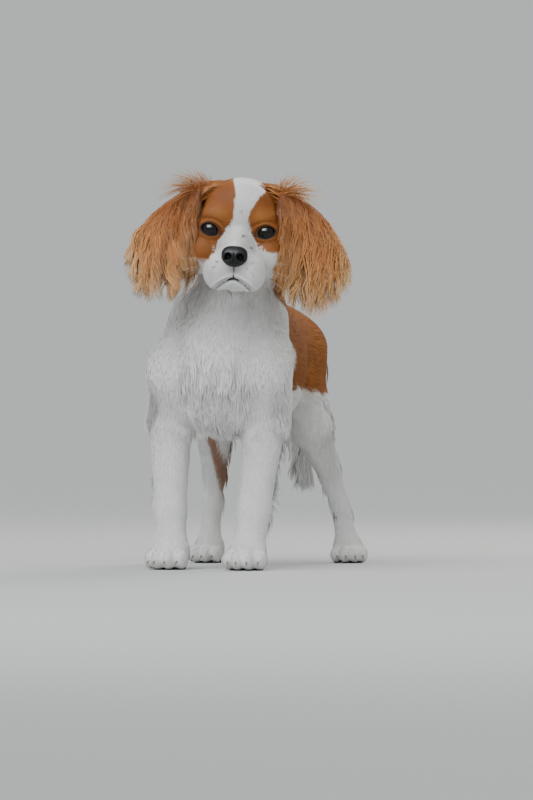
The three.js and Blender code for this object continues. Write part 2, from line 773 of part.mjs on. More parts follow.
// A three.js geometry from a solid.
function geometryOf(solid) {
  const { numProp, numVert, vertProperties, triVerts } = solid.getMesh();
  const places = new Float32Array(numVert * 3);
  for (let i = 0; i < numVert; i++) places.set(vertProperties.subarray(i * numProp, i * numProp + 3), i * 3);
  const geometry = new THREE.BufferGeometry().setAttribute("position", new THREE.BufferAttribute(places, 3));
  return geometry.setIndex(new THREE.BufferAttribute(triVerts, 1));
}

// Finishes, from the dog's coat and skin.
const coat = (name, color, roughness) =>
  new THREE.MeshStandardMaterial({ name, color, roughness, metalness: 0, flatShading: true });
const white = coat("white_coat", 0xe9e6e0, 0.85);
const chestnut = coat("chestnut_coat", 0xa8622c, 0.8);
const leather = coat("nose_leather", 0x17130f, 0.45);
const wetEye = coat("eye", 0x120805, 0.08);
const finishOf = (name) => {
  if (/^(ear|head|thigh)/.test(name)) return chestnut;
  if (name.startsWith("eye")) return wetEye;
  return name === "nose" ? leather : white;
};

function meshOf(name, solid) {
  const mesh = new THREE.Mesh(geometryOf(largest(solid)), finishOf(name));
  mesh.name = name;
  return mesh;
}

const head = new THREE.Group();
head.position.copy(HEAD_AT);
head.quaternion.copy(headTurn);
for (const [name, solid] of Object.entries(headPieces)) head.add(meshOf(name, solid));

const dog = new THREE.Group();
dog.add(head);
for (const [name, solid] of Object.entries(bodyPieces)) dog.add(meshOf(name, solid));

// The origin goes on the floor under the middle of the whole model.
const whole = new THREE.Box3().setFromObject(dog, true);
const middle = whole.getCenter(v(0, 0, 0));
dog.position.set(-middle.x, -middle.y, 0);

export default dog;
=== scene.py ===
import math

import bpy
import numpy as np
from mathutils import Euler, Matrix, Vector


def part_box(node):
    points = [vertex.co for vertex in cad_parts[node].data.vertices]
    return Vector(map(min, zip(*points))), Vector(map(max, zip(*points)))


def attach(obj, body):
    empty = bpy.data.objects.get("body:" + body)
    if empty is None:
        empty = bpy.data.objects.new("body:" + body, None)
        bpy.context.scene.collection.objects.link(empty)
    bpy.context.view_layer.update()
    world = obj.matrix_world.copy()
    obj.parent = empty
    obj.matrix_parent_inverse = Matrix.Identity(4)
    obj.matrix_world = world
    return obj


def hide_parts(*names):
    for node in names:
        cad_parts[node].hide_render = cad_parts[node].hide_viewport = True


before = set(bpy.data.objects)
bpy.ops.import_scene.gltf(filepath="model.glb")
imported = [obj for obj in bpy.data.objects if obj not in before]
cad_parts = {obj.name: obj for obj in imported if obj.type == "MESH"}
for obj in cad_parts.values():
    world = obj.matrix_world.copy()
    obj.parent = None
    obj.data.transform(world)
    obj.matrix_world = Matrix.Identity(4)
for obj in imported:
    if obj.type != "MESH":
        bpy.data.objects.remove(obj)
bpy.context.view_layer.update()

# Flesh. The whole dog from nose to rump, legs, paws and tail is one skin: clay masses are laid on,
# fused, and drawn tight over the same named masses that the solids have, less the depth of the coat.
# Lengths here are millimetres in the dog's own design frame; DRIFT carries them to the model's frame.
MM = 0.001
EYE_APART = 57.5
EYE_RADIUS = 11.5
HEAD_AT = np.array([47.0, -68.0, 354.0])
HEAD_YAW = math.radians(12)
HEAD_ROLL = math.radians(3.6)
HEAD_TURN = np.array(Euler((0, HEAD_ROLL, HEAD_YAW)).to_matrix())
NECK_ROOT = (14, 24, 232)
NECK_TOP = (35, -4, 338)
SIDES = (1, -1)


def from_head(p):
    """Points of the head's own frame, carried to the design frame."""
    return np.asarray(p, float) @ HEAD_TURN.T + HEAD_AT


def to_head(p):
    return (np.asarray(p, float) - HEAD_AT) @ HEAD_TURN


eye_low, eye_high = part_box("eye_left")
eye_seen = np.array((eye_low + eye_high) / 2) / MM
DRIFT = eye_seen - from_head([EYE_APART / 2, 4, 0])
DRIFT[2] = 0.0


def ball(centre, radii):
    return ("ball", np.array(centre, float), np.array(radii, float))


def limb(start, end, start_radius, end_radius):
    return ("limb", np.array(start, float), np.array(end, float), start_radius, end_radius)


def distance(form, p):
    """How far points lie outside a mass."""
    if form[0] == "ball":
        q = (p - form[1]) / form[2]
        near = np.sqrt((q * q).sum(1))
        steep = np.sqrt(((q / form[2]) ** 2).sum(1))
        return near * (near - 1) / np.maximum(steep, 1e-6)
    start, end = form[1], form[2]
    along = end - start
    share = np.clip((p - start) @ along / (along @ along), 0, 1)
    gap = p - start - share[:, None] * along
    return np.sqrt((gap * gap).sum(1)) - (form[3] + (form[4] - form[3]) * share)


def fuse(soft, fields):
    """Masses melted together, with a fillet about as wide as soft."""
    least = fields[0]
    for nxt in fields[1:]:
        share = np.clip(0.5 + 0.5 * (nxt - least) / soft, 0, 1)
        least = nxt + (least - nxt) * share - soft * share * (1 - share)
    return least


FAR = 60.0
REACH = 45.0


def melted(soft, masses, p):
    """The fused field of some masses, read only near them and plainly far elsewhere."""
    lows = [m[1] - m[2] if m[0] == "ball" else np.minimum(m[1], m[2]) - max(m[3:]) for m in masses]
    highs = [m[1] + m[2] if m[0] == "ball" else np.maximum(m[1], m[2]) + max(m[3:]) for m in masses]
    near = np.all((p > np.min(lows, axis=0) - REACH) & (p < np.max(highs, axis=0) + REACH), axis=1)
    field = np.full(len(p), FAR)
    if near.any():
        field[near] = fuse(soft, [distance(m, p[near]) for m in masses])
    return field


def mirrored(make):
    return [make(side) for side in SIDES]


HEAD_MASSES = [
    ball((0, 42, 13), (49, 55, 45)),
    ball((0, 8, 24), (37, 24, 28)),
    *mirrored(lambda s: ball((s * 32, 20, -20), (21, 30, 27))),
    *mirrored(lambda s: ball((s * 26, 0, 14), (14, 11, 9))),
    limb((0, 0, -20), (0, -27, -27), 21, 16),
    limb((0, 12, -42), (0, -22, -51), 22, 12),
    *mirrored(lambda s: ball((s * 17, -21, -43), (17, 19, 20.5))),
    limb((0, -2, -6), (0, -32, -17), 10, 8),
]
LID_MOUNDS = mirrored(lambda s: ball((s * EYE_APART / 2, 4, 0), (13.2, 12.8, 12.9)))
NECK_MASS = limb(NECK_ROOT, NECK_TOP, 63, 45)
TRUNK_MASSES = [
    ball((9, 40, 218), (68, 84, 82)),
    ball((6, 110, 216), (71, 96, 84)),
    ball((3, 185, 230), (58, 80, 60)),
    ball((0, 236, 236), (52, 46, 54)),
    ball((14, -12, 224), (46, 38, 50)),
    ball((9, 18, 188), (60, 46, 46)),
    limb((18, 14, 270), (8, 84, 252), 48, 44),
    *mirrored(lambda s: limb((9 + s * 34, 30, 268), (9 + s * 49, -4, 212), 34, 29)),
    *mirrored(lambda s: limb((9 + s * 49, -4, 212), (7 + s * 44, 26, 176), 29, 24)),
    *mirrored(lambda s: limb((s * 30, 236, 235), (s * 46, 206, 182), 36, 24)),
    *mirrored(lambda s: limb((s * 32, 240, 226), (s * 44, 234, 186), 32, 24)),
]
# The upper arms carry long hair over the elbows, so their masses run on into the forelegs.
ARM_MASSES = [limb((-43, 2, 208), (-53, 28, 158), 31, 28), limb((58, 2, 206), (50, 27, 158), 29, 27)]


def limbs(joints, radii):
    """A row of limbs from joint to joint."""
    return [limb(joints[i], joints[i + 1], radii[i], radii[i + 1]) for i in range(len(joints) - 1)]


HIND_RADII = [14, 24, 14.5, 13, 14.5]
HEEL = (9, 8, 11)
LEGS = {
    "foreleg_left": limbs([(50, 28, 176), (49, 27, 150), (43, 8, 62), (39, -2, 18)], [15, 25, 20, 20]),
    "foreleg_right": limbs(
        [(-45, 32, 176), (-53, 30, 150), (-50, 14, 62), (-46, 6, 18)], [15, 25, 19.5, 19.5]),
    "hind_left": [
        *limbs(
            [(46, 208, 178), (51, 216, 148), (57, 278, 94), (66, 284, 62), (75, 284, 18)], HIND_RADII),
        limb((46, 240, 174), (56, 268, 112), 21, 13),
        ball((57, 289, 100), HEEL),
    ],
    "hind_right": [
        *limbs(
            [(-46, 198, 178), (-53, 202, 148), (-66, 246, 94), (-69, 250, 62), (-71, 248, 18)], HIND_RADII),
        limb((-48, 230, 174), (-64, 244, 112), 21, 13),
        ball((-66, 257, 100), HEEL),
    ],
}
# Each paw's ankle, size and turn in degrees.
PAWS = {
    "foreleg_left": ((39, -2), 1.08, 4),
    "foreleg_right": ((-46, 6), 1.08, -6),
    "hind_left": ((75, 284), 0.94, 20),
    "hind_right": ((-71, 248), 0.94, -12),
}
TOES = ((-15, -13), (-5.4, -21), (5.4, -21), (15, -13))


def paw_spot(leg, x, y, z):
    """A place on a paw, from the paw's own frame."""
    (ax, ay), size, yaw = PAWS[leg]
    c, s = math.cos(math.radians(yaw)), math.sin(math.radians(yaw))
    return np.array([ax + size * (c * x - s * y), ay + size * (s * x + c * y), size * z])


def paw_masses(leg):
    size = PAWS[leg][1]
    toes = [ball(paw_spot(leg, x, y, 10), np.array((8, 12.5, 11)) * size) for x, y in TOES]
    return [ball(paw_spot(leg, 0, -2, 15), np.array((18, 18, 17)) * size), *toes]


TAIL_WAY = [(0, 262, 262), (0, 288, 254), (3, 302, 222), (8, 311, 178), (14, 314, 138), (18, 314, 112)]
TAIL_WAY = np.array(TAIL_WAY, float)
TAIL_MASSES = limbs(TAIL_WAY, [10, 8.5, 7, 5.5, 4, 2.5])
# How deep the coat lies over the skin in each region.
DEPTH = {"head": 1.9, "neck": 8.0, "trunk": 7.0, "leg": 3.4, "paw": 1.6, "tail": 1.5}


def head_flesh(p):
    """The head's form, coat and all, but for the lids, whose hair is a mere down."""
    return melted(9, HEAD_MASSES, to_head(p))


def part_fields(p):
    """The distance to each part of the dog's flesh, coat left off."""
    skull = head_flesh(p) + DEPTH["head"]
    fields = {
        "head": fuse(5, [skull, melted(1, LID_MOUNDS, to_head(p))]),
        "neck": distance(NECK_MASS, p) + DEPTH["neck"],
        "trunk": melted(18, TRUNK_MASSES + ARM_MASSES, p) + DEPTH["trunk"],
        "tail": melted(6, TAIL_MASSES, p) + DEPTH["tail"],
    }
    for leg, masses in LEGS.items():
        fields[leg] = melted(8, masses, p) + DEPTH["leg"]
        fields["paw_" + leg] = melted(3, paw_masses(leg), p) + DEPTH["paw"]
    return fields


SOLE_HEIGHT = 1.4


def flesh(p):
    """The distance out of the whole skin, held a little over the floor."""
    f = part_fields(p)
    body = fuse(16, [f["trunk"], f["neck"], f["head"]])
    limb_fields = [f[k] for k in f if k not in ("trunk", "neck", "head")]
    return np.maximum(fuse(12, [body, *limb_fields]), SOLE_HEIGHT - p[:, 2])


def slope(field, p, step=0.4):
    """The way out of a field, from four nearby readings."""
    corners = np.array([(1, -1, -1), (-1, -1, 1), (-1, 1, -1), (1, 1, 1)], float)
    total = np.zeros_like(p)
    for corner in corners:
        total += corner * field(p + corner * step)[:, None]
    return total / np.maximum(np.linalg.norm(total, axis=1, keepdims=True), 1e-9)


def deselect():
    if bpy.context.object and bpy.context.object.mode != "OBJECT":
        bpy.ops.object.mode_set(mode="OBJECT")
    bpy.ops.object.select_all(action="DESELECT")


def lay_mass(form, local):
    """A clay ball, or a row of them along a limb."""
    turn = Euler((0, HEAD_ROLL, HEAD_YAW)) if local else Euler((0, 0, 0))
    if form[0] == "ball":
        spots = [(form[1], form[2])]
    else:
        start, end, r0, r1 = form[1:]
        count = max(2, int(np.linalg.norm(end - start) / (0.45 * min(r0, r1))) + 1)
        shares = np.linspace(0, 1, count)
        spots = [(start + (end - start) * t, np.full(3, r0 + (r1 - r0) * t)) for t in shares]
    for centre, radii in spots:
        place = (from_head(centre) if local else centre) * MM
        bpy.ops.mesh.primitive_uv_sphere_add(
            segments=LUMP_SIDES, ring_count=LUMP_RINGS, radius=1, location=place, rotation=turn)
        bpy.context.object.scale = radii * MM
        laid.append(bpy.context.object)


def joined(pieces, name):
    """Several meshes made one."""
    deselect()
    for piece in pieces:
        piece.select_set(True)
    bpy.context.view_layer.objects.active = pieces[0]
    bpy.ops.object.join()
    pieces[0].name = name
    return pieces[0]


LUMP_SIDES, LUMP_RINGS, CLAY_GRAIN = 20, 12, 3.0
laid = []
deselect()
for mass in HEAD_MASSES + LID_MOUNDS:
    lay_mass(mass, True)
for mass in [NECK_MASS, *TRUNK_MASSES, *ARM_MASSES, *TAIL_MASSES, *[m for ms in LEGS.values() for m in ms]]:
    lay_mass(mass, False)
for leg in PAWS:
    for mass in paw_masses(leg):
        lay_mass(mass, False)
skin = joined(laid, "skin")
bpy.ops.object.transform_apply(location=True, rotation=True, scale=True)
remesh = skin.modifiers.new("fused", "REMESH")
remesh.mode = "VOXEL"
remesh.voxel_size = CLAY_GRAIN * MM
bpy.ops.object.modifier_apply(modifier=remesh.name)


def points_of(obj):
    flat = np.empty(len(obj.data.vertices) * 3)
    obj.data.vertices.foreach_get("co", flat)
    return flat.reshape(-1, 3) / MM


def put_points(obj, p):
    obj.data.vertices.foreach_set("co", (p * MM).ravel())
    obj.data.update()


def eased(obj, p):
    """Points drawn halfway to the mean of their neighbours."""
    edges = np.empty(len(obj.data.edges) * 2, int)
    obj.data.edges.foreach_get("vertices", edges)
    a, b = edges.reshape(-1, 2).T
    count = np.bincount(np.r_[a, b], minlength=len(p))[:, None]
    total = np.zeros_like(p)
    for k in range(3):
        total[:, k] = np.bincount(a, p[b, k], len(p)) + np.bincount(b, p[a, k], len(p))
    return 0.5 * p + 0.5 * total / np.maximum(count, 1)


def drawn_tight(obj, rounds):
    """The mesh smoothed and drawn onto the flesh's surface, round after round."""
    p = points_of(obj)
    for _ in range(rounds):
        p = eased(obj, p)
        p -= np.clip(flesh(p), -5, 5)[:, None] * slope(flesh, p)
    put_points(obj, p)


def refined(obj, chosen):
    """Faces whose every corner is chosen are cut in four."""
    mesh = obj.data
    deselect()
    obj.select_set(True)
    bpy.context.view_layer.objects.active = obj
    bpy.ops.object.mode_set(mode="EDIT")
    bpy.ops.mesh.select_mode(type="VERT")
    bpy.ops.mesh.select_all(action="DESELECT")
    bpy.ops.object.mode_set(mode="OBJECT")
    mesh.vertices.foreach_set("select", chosen)
    bpy.ops.object.mode_set(mode="EDIT")
    bpy.ops.mesh.select_mode(type="VERT")
    bpy.ops.mesh.subdivide(number_cuts=1)
    bpy.ops.object.mode_set(mode="OBJECT")


drawn_tight(skin, 4)
h = to_head(points_of(skin))
refined(skin, (h[:, 1] < 26) & (np.abs(h[:, 0]) < 58) & (h[:, 2] > -72) & (h[:, 2] < 52))
h = to_head(points_of(skin))
by_eye = np.min([np.linalg.norm(h - (s * EYE_APART / 2, -6, 0), axis=1) for s in SIDES], axis=0) < 18
by_mouth = (h[:, 1] < 0) & (np.abs(h[:, 0]) < 30) & (h[:, 2] < -34) & (h[:, 2] > -70)
refined(skin, by_eye | by_mouth)
drawn_tight(skin, 2)

# The line of the mouth is pressed in between the lips, an arch under the nose that ends below the
# flews, and the skin over each eyeball is tucked back inside it, where the lids open.
MOUTH_APEX, MOUTH_DROP, MOUTH_HALF = -50.0, 17.5, 26.0
LID_SLANT = math.radians(-9)
LID_HALF_WIDE, LID_HALF_UP, LID_HALF_DOWN = 9.6, 7.0, 6.3
LID_POINT = 1.55
SOCKET_RADIUS = 9.5


def hump(x, centre, width):
    """A smooth rise, 1 high at its centre and gone two widths away."""
    return np.exp(-(((x - centre) / width) ** 2))


def mouth_line(x):
    return MOUTH_APEX - MOUTH_DROP * np.minimum(np.abs(x) / MOUTH_HALF, 1.2) ** 1.6


def off_mouth(h):
    """How far points of the head's frame are from the line of the mouth."""
    steep = 1.6 * MOUTH_DROP / MOUTH_HALF * np.clip(np.abs(h[:, 0]) / MOUTH_HALF, 0, 1) ** 0.6
    off = np.abs(h[:, 2] - mouth_line(h[:, 0])) / np.sqrt(1 + steep**2)
    return np.where((h[:, 1] < -6) & (np.abs(h[:, 0]) < MOUTH_HALF + 1), off, 99.0)


def off_philtrum(h):
    inside = (h[:, 2] < -34) & (h[:, 2] > MOUTH_APEX) & (h[:, 1] < -20)
    return np.where(inside, np.abs(h[:, 0]), 99.0)


def lid_share(h, side):
    """Where a point lies in the almond between the lids: 1 on its edge, less within."""
    x, z = side * h[:, 0] - EYE_APART / 2, h[:, 2]
    c, s = math.cos(LID_SLANT), math.sin(LID_SLANT)
    along, up = c * x - s * z, s * x + c * z
    half_high = np.where(up > 0, LID_HALF_UP, LID_HALF_DOWN)
    return np.sqrt((np.abs(along) / LID_HALF_WIDE) ** LID_POINT + (up / half_high) ** 2), up


p = points_of(skin)
h = to_head(p)
out = slope(flesh, p)
groove = 4.5 * hump(off_mouth(h), 0, 1.3) + 1.8 * hump(off_philtrum(h), 0, 1.0)
lips = 1.1 * hump(off_mouth(h), 3.4, 2.0)
for side in SIDES:
    share, up = lid_share(h, side)
    front = h[:, 1] < 2
    above, below = front * (up > 0), front * (up <= 0)
    lips += 0.9 * above * hump(share, 1.32, 0.16) + 0.5 * below * hump(share, 1.3, 0.16)
    groove += 1.3 * above * hump(share, 1.72, 0.13) + 0.6 * below * hump(share, 1.75, 0.15)
p += out * (lips - groove)[:, None]
h = to_head(p)
for side in SIDES:
    centre = np.array([side * EYE_APART / 2, 4, 0])
    open_here = (lid_share(h, side)[0] < 1.06) & (h[:, 1] < 2)
    way = h[open_here] - centre
    way /= np.linalg.norm(way, axis=1, keepdims=True)
    h[open_here] = centre + way * SOCKET_RADIUS
skin_points = from_head(h)
put_points(skin, skin_points)

# Markings. White, with chestnut over the eyes, the crown, the ears, the saddle and the haunches; the
# same rule colours the skin and every lock of the coat. Edges are ragged, as hair makes them.
BLAZE_HEIGHT = [-60, -46, -31, -22, -14, -8, -2, 4.5, 11, 19, 27, 34, 40, 49, 58, 70]
BLAZE_RIGHT = [-60, -31, -25, -23, -19.6, -16.6, -12.4, -7.7, -5, -4.5, -4.6, -4.2, -4.6, -7.8, -12.6, -10]
BLAZE_LEFT = [60, 38, 37, 36, 21.3, 17.6, 13.8, 11.2, 9.7, 11.3, 15.3, 19.4, 25.3, 22.1, 14.2, 10]
WHITE = np.array([0.80, 0.80, 0.785])
FACE_RED = np.array([0.31, 0.095, 0.017])
BROW_RED = np.array([0.45, 0.165, 0.033])
DEEP_RED = np.array([0.16, 0.048, 0.011])
BODY_RED = np.array([0.26, 0.088, 0.02])
CORNER_BROWN = np.array([0.06, 0.025, 0.014])
# The ticks' brown also serves as the painted shadow under the nose.
TICK_AND_SHADOW_BROWN = np.array([0.10, 0.06, 0.035])
LIP_BLACK = np.array([0.022, 0.016, 0.014])
# The height at which the cheeks turn white, and the dark ticks on the face (x, z, radius) and body.
CHEEK_LINE = {1: -20.0, -1: -32.0}
HEAD_TICKS = [(2.9, 18.3, 1.0), (5.7, -5.7, 1.3), (14.5, -16.7, 1.1), (17, -33, 0.9), (-17, -34, 0.8),
              (21, -37, 0.8), (-20, -39, 0.8), (13, -38, 0.8), (19, -43, 0.7), (12, -33, 0.7)]
BODY_TICKS = [(-62, 8, 150, 1.7), (-58, 4, 137, 1.5), (60, 8, 112, 1.6), (62, 275, 52, 2.0)]


def ripple(p, size, seed=0.0):
    """A smooth uneven pattern between about -1 and 1, with waves of a given size."""
    q = p * (6.28 / size)
    a = np.sin(q[:, 0] + 1.7 * np.sin(q[:, 1] * 0.7 + seed)) * np.cos(q[:, 1] + seed * 1.3)
    b = np.sin(q[:, 1] * 1.3 + 2.1 * np.sin(q[:, 2] * 0.6 + seed * 2)) * np.cos(q[:, 2] * 1.1 + seed)
    return (a + b + np.sin(q[:, 2] * 0.8 + q[:, 0] * 0.9 + seed)) / 3


def step_up(x, low, high):
    t = np.clip((x - low) / (high - low), 0, 1)
    return t * t * (3 - 2 * t)


def head_red(h):
    """Share of chestnut on the head, by height and width."""
    x, y, z = h[:, 0] + 0.9 * ripple(h, 9, 1), h[:, 1], h[:, 2] + 0.9 * ripple(h, 9, 4)
    right = np.interp(z, BLAZE_HEIGHT, BLAZE_RIGHT)
    left = np.interp(z, BLAZE_HEIGHT, BLAZE_LEFT)
    over = step_up(y, 30, 62)
    right, left = right * (1 - over), left * (1 - over)
    blaze = step_up(x, right - 0.8, right + 0.8) * (1 - step_up(x, left - 0.8, left + 0.8))
    blaze = blaze * (1 - step_up(y, 56, 64))
    line = np.where(x > 0, CHEEK_LINE[1], CHEEK_LINE[-1]) - 10 * step_up(y, 20, 60)
    below = 1 - step_up(z, line - 1.5, line + 1.5)
    return (1 - blaze) * (1 - below * (1 - step_up(y, 66, 78)))


def head_tone(h):
    """Chestnut of the head: bright over the brows, deep beside the blaze's top and the eyes, and darkened by
    painted shade at the sides beside the ears.
    """
    x, y, z = h.T
    side = np.abs(x)
    brow = hump(side, 20, 9) * hump(z, 14, 8) * (y < 16)
    cheek = hump(side, 30, 12) * hump(z, -20, 7) * (y < 16)
    # The first term is painted shade on the sides of the head beside the ears; the second deepens the
    # chestnut beside the blaze's top.
    deep = 0.75 * step_up(side, 38, 50) + 0.4 * hump(z, 36, 9) * hump(side, 18, 14)
    corner = hump(side, 17, 3.4) * hump(z, -4, 3.4) * (y < 12)
    tone = FACE_RED + (BROW_RED - FACE_RED) * np.clip(0.9 * brow + 0.35 * cheek, 0, 1)[:, None]
    tone = tone + (DEEP_RED - tone) * np.clip(deep, 0, 1)[:, None]
    return tone + (CORNER_BROWN - tone) * (0.8 * corner)[:, None]


def body_red(p):
    """Share of chestnut on the body: a saddle that starts sooner on the left, and both haunches."""
    x, y, z = (p + 4 * np.c_[ripple(p, 46, 1), ripple(p, 52, 2), ripple(p, 40, 3)]).T
    wobble = 1.6 * ripple(p, 7, 5)
    front = np.where(x > 8, 40.0 + 32 * hump(z, 230, 26), 74.0) + 6 * ripple(p, 50, 9)
    front = front - 46 * step_up(z, 262, 300)
    low = 186 + 8 * ripple(p, 60, 6) + 8 * step_up(np.abs(y - 120), 60, 0)
    saddle = step_up(y + wobble, front - 3, front + 3) * step_up(z + wobble, low - 3, low + 3)
    nape = step_up(z, 285, 300) * step_up(y + wobble - (24 - 0.26 * (z - 232)), 8, 16)
    inside = step_up(p[:, 0], -60, -55) * (1 - step_up(p[:, 0], -48, -42))
    streak = inside * (1 - step_up(np.abs(p[:, 2] - 112 + wobble), 28, 40)) * (p[:, 1] > 180)
    tail = step_up(p[:, 1], 276, 286) * step_up(200 - p[:, 2], -30, 0)
    return np.maximum(np.maximum(saddle * (1 - tail), nape), 0.85 * streak)


def markings(p):
    """The coat's colour at points of the design frame, and its share of chestnut."""
    h = to_head(p)
    on_head = (head_flesh(p) < 6) & (distance(NECK_MASS, p) > -24)
    red = np.where(on_head, head_red(h), body_red(p))
    tone = np.where(on_head[:, None], head_tone(h), BODY_RED) * (1 + 0.16 * ripple(p, 30, 7))[:, None]
    colour = WHITE * (1 + 0.05 * ripple(p, 24, 8))[:, None]
    colour = colour + (tone - colour) * red[:, None]
    dark = np.zeros(len(p))
    face = on_head & (h[:, 1] < 12)
    for x, z, r in HEAD_TICKS:
        dark = np.maximum(dark, face * (1 - step_up(np.hypot(h[:, 0] - x, h[:, 2] - z), r * 0.7, r * 1.5)))
    for x, y, z, r in BODY_TICKS:
        dark = np.maximum(dark, ~on_head * (1 - step_up(np.linalg.norm(p - (x, y, z), axis=1), r, r * 2.0)))
    # A painted shadow under the nose: the face just below the nose pad is darkened towards the ticks' brown.
    shadow_under_nose = face * hump(h[:, 0], 0, 7) * hump(h[:, 2], -39, 4)
    dark = np.maximum(dark, 0.45 * shadow_under_nose)
    colour = colour + (TICK_AND_SHADOW_BROWN - colour) * (0.75 * dark)[:, None]
    return np.clip(colour, 0, 1), red


def colour_in(obj, colour):
    """Stores a colour for every point of a mesh, for its finish to read."""
    layer = obj.data.attributes.new("Coat", "FLOAT_COLOR", "POINT")
    layer.data.foreach_set("color", np.c_[colour, np.ones(len(colour))].astype(np.float32).ravel())


# Hair and skin finishes share one group: it takes the stored colour and breaks it into fine streaks
# and soft blotches, so that no lock is one flat tone.
def new_node(tree, kind, inputs=None, **settings):
    """A shader node with its settings and some of its inputs filled in."""
    made = tree.nodes.new("ShaderNode" + kind)
    for label, value in settings.items():
        setattr(made, label, value)
    for label, value in (inputs or {}).items():
        made.inputs[label].default_value = value
    return made


def linked(tree, pairs):
    for start, end in pairs:
        tree.links.new(start, end)


def blank_finish(name, inputs):
    """A new finish with its shader's plain numbers set: the finish, its tree and its shader."""
    made = bpy.data.materials.new(name)
    made.use_nodes = True
    shader = made.node_tree.nodes["Principled BSDF"]
    for label, value in inputs.items():
        shader.inputs[label].default_value = value
    return made, made.node_tree, shader


STREAK_SIZE, STREAK_DEPTH = 900.0, 0.25
streaks = bpy.data.node_groups.new("hair_streaks", "ShaderNodeTree")
streaks.interface.new_socket("Colour", in_out="INPUT", socket_type="NodeSocketColor")
for label, value in (("Streak size", STREAK_SIZE), ("Depth", STREAK_DEPTH)):
    streaks.interface.new_socket(label, in_out="INPUT", socket_type="NodeSocketFloat").default_value = value
streaks.interface.new_socket("Colour", in_out="OUTPUT", socket_type="NodeSocketColor")
streaks.interface.new_socket("Height", in_out="OUTPUT", socket_type="NodeSocketFloat")
group_in = streaks.nodes.new("NodeGroupInput")
group_out = streaks.nodes.new("NodeGroupOutput")
coords = new_node(streaks, "TexCoord")
fine = new_node(streaks, "TexNoise", {"Detail": 4})
spread = new_node(streaks, "MapRange", {"From Min": 0.3, "From Max": 0.7})
darker = new_node(streaks, "Mix", data_type="RGBA", blend_type="MULTIPLY")
shade = new_node(streaks, "CombineColor")
lift = new_node(streaks, "MapRange", {"To Min": 0.45, "To Max": 1.25})
linked(streaks, [
    (group_in.outputs["Streak size"], fine.inputs["Scale"]),
    (coords.outputs["Object"], fine.inputs["Vector"]),
    (fine.outputs["Fac"], spread.inputs["Value"]),
    (spread.outputs["Result"], lift.inputs["Value"]),
    *[(lift.outputs["Result"], shade.inputs[channel]) for channel in ("Red", "Green", "Blue")],
    (group_in.outputs["Depth"], darker.inputs["Factor"]),
    (group_in.outputs["Colour"], darker.inputs[6]),
    (shade.outputs["Color"], darker.inputs[7]),
    (darker.outputs[2], group_out.inputs["Colour"]),
    (spread.outputs["Result"], group_out.inputs["Height"]),
])


def hair_finish(name, roughness, streak_size, depth, glow=0.0, bump=0.0, shine=0.2):
    """Hair or furred skin: the mesh's stored colour, streaked."""
    made, tree, shader = blank_finish(name, {
        "Roughness": roughness,
        "Specular IOR Level": shine,
        "Subsurface Weight": glow,
        "Subsurface Radius": (0.004, 0.0025, 0.0015),
    })
    stored = new_node(tree, "Attribute", attribute_name="Coat")
    group = new_node(tree, "Group", {}, node_tree=streaks)
    group.inputs["Streak size"].default_value = streak_size
    group.inputs["Depth"].default_value = depth
    linked(tree, [
        (stored.outputs["Color"], group.inputs["Colour"]),
        (group.outputs["Colour"], shader.inputs["Base Color"]),
    ])
    if bump:
        relief = new_node(tree, "Bump", {"Strength": bump, "Distance": 0.0004})
        linked(tree, [
            (group.outputs["Height"], relief.inputs["Height"]),
            (relief.outputs["Normal"], shader.inputs["Normal"]),
        ])
    return made


skin_colour, skin_red = markings(skin_points)
h = to_head(skin_points)
on_face = (h[:, 1] < 30) & (np.abs(h[:, 0]) < 60) & (h[:, 2] > -70)
skin_tone = skin_colour * np.where(on_face, 0.96, 1.0 - 0.12 * skin_red)[:, None]
lip_dark = 0.95 * np.exp(-((off_mouth(h) / 2.0) ** 2)) + 0.7 * np.exp(-((off_philtrum(h) / 1.1) ** 2))
shares = [lid_share(h, s)[0] for s in SIDES]
rim_dark = np.max([np.exp(-(((share - 1.0) / 0.2) ** 2)) * (h[:, 1] < 4) for share in shares], axis=0)
dark = np.clip(np.maximum(lip_dark, rim_dark), 0, 1)[:, None]
skin_tone = skin_tone + (LIP_BLACK - skin_tone) * dark
colour_in(skin, skin_tone)
put_points(skin, skin_points + DRIFT)
skin.data.materials.clear()
skin.data.materials.append(hair_finish("short_hair_and_skin", 0.8, 900.0, 0.3, glow=0.1, bump=0.5))
skin.data.shade_smooth()
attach(skin, "root")
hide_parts("head", "neck", "torso", "shoulder_left", "shoulder_right", "foreleg_left", "foreleg_right",
            "forepaw_left", "forepaw_right", "thigh_left", "thigh_right", "shank_left", "shank_right",
            "hock_left", "hock_right", "hindpaw_left", "hindpaw_right", "tail")

# Eyes. Each is a moist ball in its socket: a clear bulge over a near-black brown iris, with a sliver
# of bluish white that shows in the inner corner.
CORNEA_BULGE = 0.9


BOTH_SIDES = ((1, "left"), (-1, "right"))
# From the middle of the eye outwards: pupil, iris, its dark edge and the white.
EYE_TONES = [
    (0.40, (0.002, 0.0015, 0.001, 1)),
    (0.47, (0.009, 0.0035, 0.0015, 1)),
    (0.68, (0.013, 0.005, 0.002, 1)),
    (0.76, (0.003, 0.002, 0.002, 1)),
    (0.86, (0.008, 0.008, 0.010, 1)),
    (0.92, (0.26, 0.26, 0.30, 1)),
]


